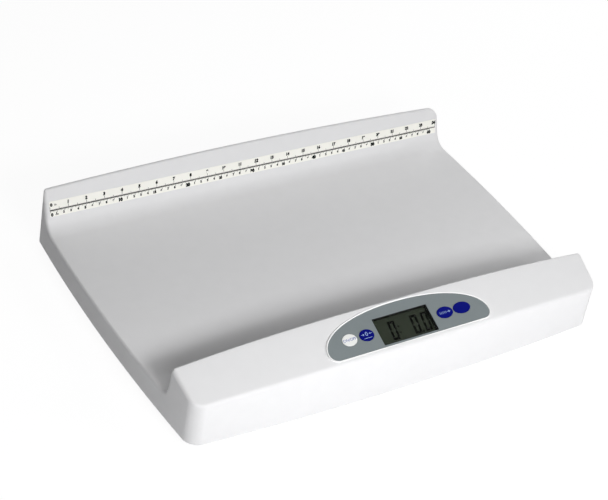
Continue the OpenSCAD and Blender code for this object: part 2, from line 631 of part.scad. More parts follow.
module display_ribbon() color([0.7, 0.7, 0.72]) placed() {
    a = ribbon_x - ribbon_w / 2;
    b = ribbon_x + ribbon_w / 2;
    plug = main_y - 15 + ribbon_t / 2;
    span([a, ribbon_y - ribbon_t / 2, ribbon_z], [b, ribbon_y + ribbon_t / 2, ribbon_top]);
    span([a, ribbon_y - ribbon_t / 2, ribbon_z], [b, plug, ribbon_z + ribbon_t]);
    span([a, plug - ribbon_t, main_z + main_t + 3 + plug_gap / 2], [b, plug, ribbon_z + 1]);
}
module cell_wires() color([0.75, 0.1, 0.1]) placed() {
    low = well_roof - cell_frame_t + wire_r + glue;
    end_z = main_z + main_t + 3.4 + wire_r;
    for (i = [0:3]) let (f = FEET[i], side = sign(f[0]), back = f[1] > tray_d / 2 ? 1 : -1,
        plug = [main_x + (side > 0 ? 12 : -18), main_y + (side > 0 ? 16 : 8), end_z],
        turn_y = back > 0 ? bay_y + bay_l + 18 : main_y - 50)
        wire(concat([[f[0], f[1], low], [f[0], f[1], wire_z]],
            side > 0 ? [[f[0], turn_y, wire_z]]
                     : [[-bay_w / 2 - 30, turn_y, wire_z], [bay_w / 2 + 16, turn_y, wire_z]],
            [[plug[0] + side * 2, plug[1] + back * 4, wire_z], plug + [side * 2, back * 2, 0]]), wire_r);
}
module battery_leads() color([0.1, 0.1, 0.1]) placed() for (k = [0, 1])
    wire([[bay_w / 2 + 0.3, lead_y + (k - 0.5) * lead_gap, lead_z],
          [bay_w / 2 + 6, lead_y + (k - 0.5) * lead_gap, lead_z],
          [main_x - 36 + 2.5 * k, main_y + 8, lead_z + 0.2],
          [main_x - 23.5 + 2.5 * k, main_y - 8.5, lead_z + 1.2]], lead_r);

module power_inlet() color([0.1, 0.1, 0.1]) placed() at([jack_x, back_in, jack_z]) {
    difference() {
        union() {
            at([0, -jack_l / 2, -5.5]) block(11, jack_l, 11);
            rotate([-90, 0, 0]) cylinder(r = jack_r, h = wall + slip);
        }
        rotate([-90, 0, 0]) at([0, 0, -9]) cylinder(r = 3.2, h = 20);
    }
    rotate([-90, 0, 0]) at([0, 0, -10]) cylinder(r = 1, h = 10);
}
module inlet_lead() color([0.1, 0.1, 0.1]) placed()
    wire([[jack_x, back_in - jack_l - wire_r - glue, jack_z], [jack_x, back_in - jack_l - 16, wire_z],
          [main_x + 52, bay_y + 39, wire_z], [main_x + 30, main_y + 19, wire_z]], wire_r);
module beeper() color([0.8, 0.65, 0.3]) placed() on_panel()
    at([27 - board_w / 2, board_y + 16, board_n - board_t - glue - beeper_t]) difference() {
        cylinder(r = beeper_r, h = beeper_t);
        at([0, 0, -1]) cylinder(r = 1.2, h = 2.5);
    }

tray_shell();
ruler_strip();
panel_carrier();
panel_sheet();
display_lens();
lcd_frame();
lcd_glass();
lcd_connectors();
key_power();
key_clear();
key_release();
key_units();
plunger_power();
plunger_clear();
plunger_release();
plunger_units();
switch_bodies();
display_board();
display_chips();
board_screws();
push_nuts();
base_pan();
pan_screws();
battery_door();
battery_cells();
contact_springs();
contact_plates();
main_board();
main_chips();
main_screws();
load_cells();
cell_frames();
foot_cups();
foot_pads();
display_ribbon();
cell_wires();
battery_leads();
power_inlet();
inlet_lead();
beeper();
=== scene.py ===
import math

import bmesh
import bpy
from bpy.props import (
    BoolProperty, FloatProperty, FloatVectorProperty, IntProperty, PointerProperty, StringProperty,
)
from mathutils import Matrix, Vector


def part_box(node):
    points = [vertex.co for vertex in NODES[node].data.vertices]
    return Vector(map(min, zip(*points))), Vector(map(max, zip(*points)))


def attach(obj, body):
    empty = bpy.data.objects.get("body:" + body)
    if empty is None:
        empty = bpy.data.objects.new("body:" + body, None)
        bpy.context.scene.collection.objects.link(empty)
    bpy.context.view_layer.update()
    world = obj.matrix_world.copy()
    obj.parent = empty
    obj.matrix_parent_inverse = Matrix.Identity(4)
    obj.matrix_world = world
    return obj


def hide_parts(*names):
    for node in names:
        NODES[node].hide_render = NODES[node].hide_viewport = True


bl_info = {
    "name": "Baby Scale",
    "version": (1, 0, 0),
    "blender": (4, 5, 0),
    "location": "3D View > Sidebar > Baby Scale",
    "description": "Dresses the solids of a digital baby scale: tray, strip, panel, keys, feet",
    "category": "Object",
}

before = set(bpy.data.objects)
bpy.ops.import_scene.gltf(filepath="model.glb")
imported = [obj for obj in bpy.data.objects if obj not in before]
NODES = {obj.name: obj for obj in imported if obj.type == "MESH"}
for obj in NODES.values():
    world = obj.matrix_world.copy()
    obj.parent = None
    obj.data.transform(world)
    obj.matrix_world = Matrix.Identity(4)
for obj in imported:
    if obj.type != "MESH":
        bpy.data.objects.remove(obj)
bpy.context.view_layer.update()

# heights, gaps and depths that the pieces share with the solids, in millimetres
FLOOR_Z = 32
FRONT_BOW = 9.8
BACK_BOW = 2
FOOT_H = 9
SHEET_T = 0.5
PLATE_N = -3  # underside of the panel carrier's plate
STRIP_T = 0.3
GLUE = 0.05
SLIP = 0.3
FINE = 0.03
GLASS_FACE = -4.2
KEY_TOP = 0.9
PRINT_T = 0.02
SEGMENT_T = 0.03

TO_METRES = Matrix.Scale(0.001, 4)
TO_MM = Matrix.Scale(1000, 4)
QUARTER = math.pi / 2


def srgb(red, green, blue):
    """A colour as it is seen (0 to 255), as the linear values that a shader takes."""
    def one(c):
        c /= 255
        return c / 12.92 if c <= 0.04045 else ((c + 0.055) / 1.055) ** 2.4
    return (one(red), one(green), one(blue), 1.0)


# ------------------------------------------------------------------ sizes and colours


def length(name, description, value):
    return FloatProperty(
        name=name, description=description, default=value / 1000, unit="LENGTH", precision=4
    )


def colour(name, description, value):
    return FloatVectorProperty(
        name=name, description=description, default=value, size=4, min=0, max=1, subtype="COLOR"
    )


def watts(name, value):
    return FloatProperty(
        name=name, description=f"Power of the {name.lower()}", default=value, min=0, unit="POWER"
    )


class TraySizes(bpy.types.PropertyGroup):
    front_w: length("Front width", "Width across the front corners", 596)
    back_w: length("Back width", "Width across the back corners", 624)
    side_bow: length("Side bow", "How far each side bows out between its corners", 8.5)
    tray_d: length("Depth", "Depth from the front corners to the back corners", 414)
    wall: length("Wall", "Wall thickness of the moulding", 3)
    console_fillet: length("Front hollow", "Radius of the hollow behind the console", 30)
    back_fillet: length("Back hollow", "Radius of the hollow before the back wall", 25)
    corner_r: length("Corner", "Rounding of the front corners seen from above", 16)
    console_front_z: length("Console front", "Height of the console's front edge at its ends", 58.5)
    console_back_z: length("Console rear", "Height of the console's rear edge at its ends", 79)
    console_d: length("Console depth", "Depth of the console top at its ends", 54.2)
    crown_front: length("Front crown", "Rise of the front edge at its middle", 10.2)
    crown_back: length("Rear crown", "Rise of the rear edge at its middle", 12.2)
    back_z: length("Back wall", "Height of the back wall at its ends", 84.6)
    back_arch: length("Back arch", "Rise of the back wall at its middle", 6.7)
    back_lean: FloatProperty(
        name="Lean", description="Lean of the back wall away from the floor",
        default=math.radians(19.8), subtype="ANGLE",
    )


class StripPrint(bpy.types.PropertyGroup):
    line_h: length("Line", "Thickness of the middle line", 1.1)
    tick_w: length("Tick", "Thickness of the fine ticks", 0.5)
    inches: IntProperty(name="Inches", description="Inches on the upper scale", default=24, min=1)
    centimetres: IntProperty(
        name="Centimetres", description="Centimetres on the lower scale", default=60, min=1
    )
    ink: colour("Ink", "Colour of the printed scales", srgb(30, 34, 33))
    film: colour("Film", "Colour of the strip", srgb(252, 251, 244))


class PanelLooks(bpy.types.PropertyGroup):
    panel_w: length("Panel width", "Width of the grey sheet", 235)
    panel_rise: length("Panel rise", "Rise of the arch above its widest line", 43.3)
    panel_x: length("Panel place", "Offset of the panel from the tray's middle", 0)
    border: length("Border", "Width of the light border along the arch", 2)
    window_x: length("Window place", "Offset of the window from the panel's middle", -3.2)
    window_w: length("Window width", "Width of the display window", 80)
    window_h: length("Window height", "Height of the display window", 37)
    grey: colour("Grey", "Colour of the panel sheet", srgb(125, 133, 135))
    glass: colour("Display", "Colour of the display glass", srgb(51, 57, 47))
    figure: colour("Figures", "Colour of the dark segments", srgb(9, 10, 9))
    reading: StringProperty(
        name="Reading", description="Three figures shown on the display", default="000"
    )


class KeyLooks(bpy.types.PropertyGroup):
    key_h: length("Key height", "Height of a key across the slope", 15.5)
    blue: colour("Blue", "Colour of three of the keys", srgb(2, 11, 112))
    white: colour("White", "Colour of the power key", srgb(237, 238, 236))
    legends: BoolProperty(
        name="Legends", description="Print plain marks on the keys", default=True
    )


class StageLooks(bpy.types.PropertyGroup):
    plastic: colour("Tray", "Colour of the moulded tray", srgb(232, 232, 233))
    floor: colour("Floor", "Colour of the floor", srgb(246, 246, 247))
    front_power: watts("Front lamp", 13)
    left_power: watts("Left lamp", 3.6)
    right_power: watts("Right lamp", 5.5)
    side_power: watts("Side lamp", 3.8)
    back_power: watts("Back lamp", 3.7)
    fill: FloatProperty(name="Fill", description="Light level of the world", default=0.0, min=0)
    lens: FloatProperty(
        name="Lens", description="Focal length of the camera in millimetres", default=86.25
    )


class ScaleLooks(bpy.types.PropertyGroup):
    tray: PointerProperty(type=TraySizes)
    strip: PointerProperty(type=StripPrint)
    panel: PointerProperty(type=PanelLooks)
    keys: PointerProperty(type=KeyLooks)
    stage: PointerProperty(type=StageLooks)


def looks():
    return bpy.context.scene.baby_scale


# ------------------------------------------------------------------ materials


def add_node(tree, kind, inputs=None, **settings):
    """A node with its settings; each input takes a value or another node's socket."""
    made = tree.nodes.new(kind)
    for key, value in settings.items():
        setattr(made, key, value)
    for key, value in (inputs or {}).items():
        if isinstance(value, bpy.types.NodeSocket):
            tree.links.new(value, made.inputs[key])
        else:
            made.inputs[key].default_value = value
    return made


def material(name, rough=0.5, metallic=0.0, **sockets):
    """A new node material: its Principled shader takes the constants that are given."""
    mat = bpy.data.materials.new(name)
    mat.use_nodes = True
    constants = {"Roughness": rough, "Metallic": metallic, **sockets}
    for key, value in constants.items():
        shader_input(mat, key.replace("_", " ")).default_value = value
    return mat


def shader_input(mat, key):
    return mat.node_tree.nodes["Principled BSDF"].inputs[key]


def feed(mat, key, value):
    mat.node_tree.links.new(value, shader_input(mat, key))


def texture(mat, kind, inputs, output, stretch=(1, 1, 1), **settings):
    """A pattern on the piece's own coordinates."""
    own = add_node(mat.node_tree, "ShaderNodeTexCoord").outputs["Object"]
    mapped = add_node(mat.node_tree, "ShaderNodeMapping", {"Vector": own, "Scale": stretch})
    inputs = {"Vector": mapped.outputs["Vector"], **inputs}
    return add_node(mat.node_tree, "ShaderNodeTex" + kind, inputs, **settings).outputs[output]


def noise(mat, scale, detail=2.0, stretch=(1, 1, 1)):
    inputs = {"Scale": scale, "Detail": detail, "Roughness": 0.5}
    return texture(mat, "Noise", inputs, "Fac", stretch)


def ramp(mat, factor, low, high, a=0.3, b=0.7):
    made = add_node(mat.node_tree, "ShaderNodeValToRGB", {"Fac": factor})
    for stop, position, value in zip(made.color_ramp.elements, (a, b), (low, high)):
        stop.position, stop.color = position, value
    return made.outputs["Color"]


def tint(mat, value, spread, scale, stretch=(1, 1, 1)):
    """Uneven colour: the value swings by a small share over blotches of 1/scale metres."""
    dark, light = (
        tuple(min(c * share, 1) for c in value[:3]) + (1,) for share in (1 - spread, 1 + spread)
    )
    feed(mat, "Base Color", ramp(mat, noise(mat, scale, 3, stretch), dark, light))


def wear(mat, low, high, scale):
    """Roughness that changes over the surface between two values."""
    feed(mat, "Roughness", add_node(mat.node_tree, "ShaderNodeMapRange", {
        "Value": noise(mat, scale, 4), "To Min": low, "To Max": high,
        "From Min": 0.3, "From Max": 0.7,
    }).outputs["Result"])


def bump(mat, height, depth):
    """Relief; its depth in millimetres."""
    feed(mat, "Normal", add_node(mat.node_tree, "ShaderNodeBump", {
        "Height": height, "Strength": 1.0, "Distance": depth / 1000,
    }).outputs["Normal"])


def moulded(name, value, rough, grain, grain_scale, spread, gloss=0.5):
    """Injection-moulded plastic: fine spark texture, faint flow blotches, uneven sheen."""
    mat = material(name, rough, Specular_IOR_Level=gloss)
    tint(mat, value, spread, 60)
    wear(mat, rough - 0.05, rough + 0.06, 90)
    bump(mat, noise(mat, grain_scale), grain)
    return mat


def plated(name, value, rough=0.3, brush=(1, 1, 1), scale=900):
    """Bare or plated metal with drawn or stamped streaks."""
    mat = material(name, rough, 1.0)
    tint(mat, value, 0.06, scale / 3, brush)
    wear(mat, rough - 0.08, rough + 0.12, scale / 2)
    bump(mat, noise(mat, scale, 3, brush), 0.01)
    return mat


def soft_rubber(name, value, rough=0.75):
    mat = material(name, rough, Specular_IOR_Level=0.3)
    tint(mat, value, 0.12, 300)
    wear(mat, rough - 0.1, rough + 0.1, 250)
    bump(mat, noise(mat, 2600, 3), 0.05)
    return mat


def circuit_board(name):
    """Solder mask over etched tracks: stepped lines in two directions, pads at their ends."""
    mat = material(name, 0.35)
    cells = texture(mat, "Voronoi", {"Scale": 420.0}, "Distance", distance="MANHATTAN")
    black, white = (0, 0, 0, 1), (1, 1, 1, 1)
    tracks = texture(mat, "Brick", {
        "Scale": 160.0, "Mortar Size": 0.09, "Brick Width": 0.9, "Row Height": 0.22,
        "Color1": black, "Color2": black, "Mortar": white,
    }, "Color")
    board = ramp(mat, tracks, srgb(22, 92, 52), srgb(34, 122, 70), 0.2, 0.6)
    pads = add_node(mat.node_tree, "ShaderNodeMath", {0: cells, 1: 0.12}, operation="LESS_THAN")
    mix = add_node(mat.node_tree, "ShaderNodeMix", {
        "Factor": pads.outputs[0], "A": board, "B": srgb(196, 190, 160),
    }, data_type="RGBA")
    feed(mat, "Base Color", mix.outputs["Result"])
    bump(mat, tracks, 0.03)
    return mat


def cell_jacket(name):
    """Printed steel jacket of a cell: dark body, a coppery band at one end, fine brushing."""
    mat = material(name, 0.3, 0.8)
    own = add_node(mat.node_tree, "ShaderNodeTexCoord").outputs["Object"]
    along = add_node(mat.node_tree, "ShaderNodeSeparateXYZ", {"Vector": own}).outputs["Y"]
    feed(mat, "Base Color", ramp(mat, along, srgb(44, 44, 48), srgb(186, 138, 74), 0.03, 0.032))
    wear(mat, 0.22, 0.36, 200)
    bump(mat, noise(mat, 900, 2, (1, 0.1, 1)), 0.01)
    return mat


def strip_film(name, value):
    """Matt printed film with a faint paper tooth."""
    mat = material(name, 0.55, Specular_IOR_Level=0.4)
    tint(mat, value, 0.01, 35)
    wear(mat, 0.5, 0.62, 150)
    bump(mat, noise(mat, 3200), 0.012)
    return mat


def panel_film(name, value):
    """Grey printed sheet with the fine pebble of a matt polycarbonate overlay."""
    mat = material(name, 0.55, Specular_IOR_Level=0.2)
    tint(mat, value, 0.02, 45)
    wear(mat, 0.44, 0.56, 120)
    bump(mat, texture(mat, "Voronoi", {"Scale": 2200.0}, "Distance", feature="SMOOTH_F1"), 0.02)
    return mat


def display_glass(name, value):
    """Liquid-crystal glass: olive depth with a faint cloud and a very fine grain."""
    mat = material(name, 0.28, Specular_IOR_Level=0.03)
    tint(mat, value, 0.05, 70)
    wear(mat, 0.25, 0.33, 60)
    bump(mat, noise(mat, 4000, 1), 0.004)
    return mat


def window_plastic(name):
    """Clear acrylic: mostly see-through, with faint hairline scratches in its sheen."""
    mat = material(name, 0.06, Specular_IOR_Level=0.4, Alpha=0.05)
    tint(mat, srgb(40, 44, 40), 0.02, 50)
    wear(mat, 0.04, 0.1, 60)
    bump(mat, noise(mat, 500, 2, (1, 9, 1)), 0.002)
    return mat


def ink(name, value):
    """Screen-printed ink: matt, very slightly uneven."""
    mat = material(name, 0.7, Specular_IOR_Level=0.0)
    tint(mat, value, 0.08, 900)
    return mat


def layered(name, rough, scale, dark, light, a, b, depth):
    """Bands across x: the layers of a conductive strip or the cores of a flat cable."""
    mat = material(name, rough)
    bands = texture(mat, "Wave", {"Scale": scale}, "Fac", bands_direction="X")
    feed(mat, "Base Color", ramp(mat, bands, dark, light, a, b))
    bump(mat, bands, depth)
    return mat


def make_materials():
    panel, keys, strip = looks().panel, looks().keys, looks().strip
    # name, colour, roughness, grain in millimetres, grain's scale, spread of the colour, gloss
    plastics = {
        "tray": ("tray_plastic", looks().stage.plastic, 0.46, 0.014, 1500, 0.008, 0.3),
        "panel_white": ("border_plastic", srgb(243, 243, 243), 0.36, 0.01, 1800, 0.006),
        "pan": ("pan_plastic", srgb(226, 226, 224), 0.55, 0.06, 700, 0.02),
        "door": ("door_plastic", srgb(222, 222, 220), 0.52, 0.05, 800, 0.02),
        "black": ("holder_black", srgb(16, 16, 17), 0.6, 0.03, 1200, 0.1, 0.2),
        "key_white": ("key_white_plastic", keys.white, 0.38, 0.006, 2400, 0.006),
        "key_blue": ("key_blue_plastic", keys.blue, 0.42, 0.006, 2400, 0.04, 0.07),
        "plunger": ("plunger_plastic", srgb(206, 78, 52), 0.45, 0.02, 2000, 0.04),
        "switch": ("switch_plastic", srgb(50, 50, 54), 0.5, 0.03, 2000, 0.1),
        "chip": ("chip_resin", srgb(40, 40, 41), 0.6, 0.04, 3000, 0.15),
        "nylon": ("cell_frame_nylon", srgb(232, 232, 226), 0.5, 0.03, 1500, 0.02),
        "cup": ("cup_nylon", srgb(86, 86, 90), 0.5, 0.03, 1500, 0.05),
        "inlet": ("inlet_plastic", srgb(28, 28, 29), 0.35, 0.02, 1500, 0.1),
    }
    return {key: moulded(*row) for key, row in plastics.items()} | {
        "steel": plated("screw_zinc", srgb(196, 198, 202)),
        "spring": plated("spring_nickel", srgb(206, 206, 204), 0.25, (1, 1, 1), 2000),
        "contact": plated("contact_tin", srgb(214, 202, 164), 0.32, (1, 6, 1), 700),
        "gauge": plated("gauge_steel", srgb(186, 187, 190), 0.34, (8, 1, 1), 600),
        "beeper": plated("beeper_disc", srgb(208, 178, 104)),
        "pad": soft_rubber("pad_rubber", srgb(48, 48, 51)),
        "wire_red": soft_rubber("wire_red_cover", srgb(190, 40, 34), 0.45),
        "wire_black": soft_rubber("wire_black_cover", srgb(30, 30, 31), 0.45),
        "board": circuit_board("solder_mask"),
        "cell": cell_jacket("cell_print"),
        "film": strip_film("strip_film", strip.film),
        "grey": panel_film("panel_film", panel.grey),
        "glass": display_glass("display_glass", panel.glass),
        "lens": window_plastic("window_acrylic"),
        "ink": ink("strip_ink", strip.ink),
        "figure": ink("figure_dark", panel.figure),
        "legend_blue": ink("legend_blue", srgb(58, 84, 168)),
        "legend_white": ink("legend_white", srgb(158, 182, 226)),
        "zebra": layered("layered_rubber", 0.7, 900, srgb(30, 30, 32), srgb(196, 148, 150),
                         0.4, 0.6, 0.01),
        "ribbon": layered("flat_cable", 0.5, 250, srgb(150, 152, 156), srgb(188, 190, 194),
                          0.2, 0.8, 0.15),
    }


MATERIALS = {}


def paint(**finishes):
    """Gives CAD nodes a finish, by its key."""
    for look, nodes in finishes.items():
        for n in nodes.split():
            NODES[n].data.materials.clear()
            NODES[n].data.materials.append(MATERIALS[look])


# ------------------------------------------------------------------ meshes


def mesh_object(name, points, faces, matrix=Matrix.Identity(4)):
    """Object made from points in millimetres, moved by matrix (also millimetres)."""
    mesh = bpy.data.meshes.new(name)
    move = TO_METRES @ matrix
    mesh.from_pydata([move @ Vector(p) for p in points], [], faces)
    mesh.update()
    return shown(name, mesh)


def shown(name, data):
    made = bpy.data.objects.new(name, data)
    bpy.context.scene.collection.objects.link(made)
    return made


def evaluated_mesh(made):
    seen = made.evaluated_get(bpy.context.evaluated_depsgraph_get())
    return bpy.data.meshes.new_from_object(seen)


def settle(made):
    """Replaces an object's mesh by what its modifiers make of it."""
    old, made.data = made.data, evaluated_mesh(made)
    made.modifiers.clear()
    bpy.data.meshes.remove(old)
    if not made.data.polygons:
        raise RuntimeError(f"nothing is left of {made.name}")
    return made


def discard(made):
    mesh = made.data
    bpy.data.objects.remove(made)
    bpy.data.meshes.remove(mesh)


def carve(made, tools, operation="DIFFERENCE"):
    """Boolean of a closed piece with closed tools, one after the other; uses the tools up."""
    for tool in tools:
        cut = made.modifiers.new("cut", "BOOLEAN")
        cut.object, cut.operation, cut.solver = tool, operation, "MANIFOLD"
    settle(made)
    for tool in tools:
        discard(tool)
    return made


def merge(name, objects, matrix=None):
    """One mesh object from several; a matrix (millimetres) moves it and turns its faces out."""
    joined = bmesh.new()
    for o in objects:
        joined.from_mesh(o.data)
        discard(o)
    if matrix:
        bmesh.ops.transform(joined, matrix=TO_METRES @ matrix @ TO_MM, verts=joined.verts)
        bmesh.ops.recalc_face_normals(joined, faces=joined.faces)
    mesh = bpy.data.meshes.new(name)
    joined.to_mesh(mesh)
    joined.free()
    return shown(name, mesh)


def finished(made, name, body, look, replaced=(), sharp=32):
    """Smooths a piece, gives it its finish and lets it ride on its body."""
    made.name = made.data.name = name
    made.data.materials.clear()
    made.data.materials.append(MATERIALS[look])
    made.data.polygons.foreach_set("material_index", [0] * len(made.data.polygons))
    made.data.shade_smooth()
    if sharp:
        made.data.set_sharp_from_angle(angle=math.radians(sharp))
    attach(made, body)
    if replaced:
        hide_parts(*replaced)
    return made


def box(low, high, *matrix):
    (x0, y0, z0), (x1, y1, z1) = low, high
    points = [(x, y, z) for z in (z0, z1) for y in (y0, y1) for x in (x0, x1)]
    faces = [(0, 2, 3, 1), (4, 5, 7, 6), (0, 1, 5, 4), (2, 6, 7, 3), (0, 4, 6, 2), (1, 3, 7, 5)]
    return mesh_object("box", points, faces, *matrix)


def loft(rings, *matrix):
    """Closed body through rings of equal length, each ring a closed run of points."""
    n, last = len(rings[0]), len(rings) - 1
    faces = [
        (j * n + i, j * n + (i + 1) % n, (j + 1) * n + (i + 1) % n, (j + 1) * n + i)
        for j in range(last) for i in range(n)
    ]
    faces += [tuple(reversed(range(n))), tuple(range(last * n, last * n + n))]
    return mesh_object("loft", [p for ring in rings for p in ring], faces, *matrix)


def prism(outline, n0, n1, *matrix):
    return loft([[(x, y, z) for x, y in outline] for z in (n0, n1)], *matrix)


def oval(w, h, count=72, x=0, y=0):
    turns = (2 * math.pi * k / count for k in range(count))
    return [(x + w / 2 * math.cos(a), y + h / 2 * math.sin(a)) for a in turns]


def disc(x, y, r, n0, n1, matrix, count=48):
    return prism(oval(2 * r, 2 * r, count, x, y), n0, n1, matrix)


def turned(profile, count):
    """Body turned about z through (radius, height) points that go from the axis back to it."""
    return loft([[(x, y, z) for x, y in oval(2 * r, 2 * r, count)] for r, z in profile])


def rounded_rect(x, y, w, h, r, count=6):
    outline = []
    for cx, cy, start in ((1, 1, 0), (-1, 1, 90), (-1, -1, 180), (1, -1, 270)):
        for k in range(count + 1):
            a = math.radians(start + 90 * k / count)
            outline.append(
                (x + cx * (w / 2 - r) + r * math.cos(a), y + cy * (h / 2 - r) + r * math.sin(a))
            )
    return outline


# ------------------------------------------------------------------ geometry node trees


class Tree:
    """A geometry node tree under construction; its inputs have names and defaults."""

    def __init__(self, name, **inputs):
        self.tree = bpy.data.node_groups.new(name, "GeometryNodeTree")
        self.tree.is_modifier = True
        self.socket("Geometry", "OUTPUT", "Geometry")
        self.socket("Geometry", "INPUT", "Geometry")
        for key, value in inputs.items():
            kind = {int: "Int", float: "Float"}.get(type(value), value)
            made = self.socket(key.replace("_", " ").title(), "INPUT", kind)
            if kind != value:
                made.default_value = value
        self.given = self.tree.nodes.new("NodeGroupInput").outputs

    def socket(self, label, way, kind):
        return self.tree.interface.new_socket(label, in_out=way, socket_type="NodeSocket" + kind)

    def add(self, kind, inputs=None, **settings):
        return add_node(self.tree, kind, inputs, **settings).outputs

    def vector(self, **parts):
        return self.add("ShaderNodeCombineXYZ", parts)["Vector"]

    def at_points(self, piece):
        """The piece on every point of the given mesh, turned by the attribute turn."""
        turn = self.add("GeometryNodeInputNamedAttribute", {"Name": "turn"},
                        data_type="FLOAT_VECTOR")
        points = self.add("GeometryNodeMeshToPoints", {"Mesh": self.given["Geometry"]})["Points"]
        return self.finish(self.add("GeometryNodeInstanceOnPoints", {
            "Points": points, "Instance": piece, "Rotation": turn["Attribute"],
        })["Instances"])

    def finish(self, geometry):
        """Realize Instances and Set Material close every tree."""
        real = self.add("GeometryNodeRealizeInstances", {"Geometry": geometry})["Geometry"]
        painted = self.add("GeometryNodeSetMaterial", {
            "Geometry": real, "Material": self.given["Material"],
        })["Geometry"]
        self.add("NodeGroupOutput", {"Geometry": painted})
        return self.tree


def grow(made, tree, look, **values):
    """Runs a tree on an object and keeps the plain mesh."""
    values["material"] = MATERIALS[look]
    modifier = made.modifiers.new(tree.name, "NODES")
    modifier.node_group = tree
    for item in tree.interface.items_tree:
        key = item.name.replace(" ", "_").lower()
        if item.in_out == "INPUT" and key in values:
            modifier[item.identifier] = values[key]
    made.update_tag()
    return settle(made)


def tick_tree():
    """A row of ticks along x: every so many is longer."""
    t = Tree("Scale Ticks", start=0.0, count=10, pitch=0.001, tick_width=0.0003, short=0.0012,
             middle=0.002, long=0.004, middle_every=5, long_every=10, foot=0.0,
             material="Material")
    g = t.given
    line = t.add("GeometryNodeMeshLine", {
        "Count": g["Count"], "Start Location": t.vector(X=g["Start"], Y=g["Foot"]),
        "Offset": t.vector(X=g["Pitch"]),
    }, mode="OFFSET")["Mesh"]
    index = t.add("GeometryNodeInputIndex")["Index"]

    def pick(name, no, yes):
        """Yes at every so many ticks, by the named input."""
        rest = t.add("ShaderNodeMath", {0: index, 1: g[name]}, operation="FLOORED_MODULO")
        test = t.add("ShaderNodeMath", {0: rest["Value"], 1: 0.5}, operation="LESS_THAN")
        return t.add("GeometryNodeSwitch", {"Switch": test["Value"], "False": no, "True": yes},
                     input_type="FLOAT")["Output"]

    reach = pick("Long Every", pick("Middle Every", g["Short"], g["Middle"]), g["Long"])
    bar = t.add("GeometryNodeTransform", {
        "Geometry": t.add("GeometryNodeMeshCube")["Mesh"], "Translation": (0, 0.5, 0.5),
    })["Geometry"]
    return t.finish(t.add("GeometryNodeInstanceOnPoints", {
        "Points": line, "Instance": bar,
        "Scale": t.vector(X=g["Tick Width"], Y=reach, Z=PRINT_T / 1000),
    })["Instances"])


def repeat_tree():
    """A piece repeated at every point."""
    t = Tree("Repeated Pieces", piece="Object", material="Material")
    return t.at_points(t.add("GeometryNodeObjectInfo", {"Object": t.given["Piece"]})["Geometry"])


def spring_tree():
    """Conical coil spring at every point, along the point's turned z axis."""
    t = Tree("Contact Coils", turns=5.0, wide_radius=0.0041, narrow_radius=0.0028, height=0.008,
             wire_radius=0.0003, material="Material")
    g = t.given
    coil = t.add("GeometryNodeCurveSpiral", {
        "Resolution": 24, "Rotations": g["Turns"], "Start Radius": g["Wide Radius"],
        "End Radius": g["Narrow Radius"], "Height": g["Height"], "Reverse": False,
    })["Curve"]
    ring = t.add("GeometryNodeCurvePrimitiveCircle", {"Resolution": 8, "Radius": g["Wire Radius"]})
    return t.at_points(t.add("GeometryNodeCurveToMesh", {
        "Curve": coil, "Profile Curve": ring["Curve"], "Fill Caps": True,
    })["Mesh"])


TREES = {}


def spots(name, places, turns=None):
    """A mesh of loose points in metres, each with its turn."""
    made = mesh_object(name, [], [])
    made.data.from_pydata([Vector(p) for p in places], [], [])
    held = made.data.attributes.new("turn", "FLOAT_VECTOR", "POINT")
    for k, turn in enumerate(turns or [(0, 0, 0)] * len(places)):
        held.data[k].vector = turn
    return made


def repeated(name, piece, places, turns, look):
    """The piece (used up) repeated at the places, as one plain mesh."""
    made = grow(spots(name, places, turns), TREES["repeat"], look, piece=piece)
    discard(piece)
    return made


# ------------------------------------------------------------------ forms of tray and panel


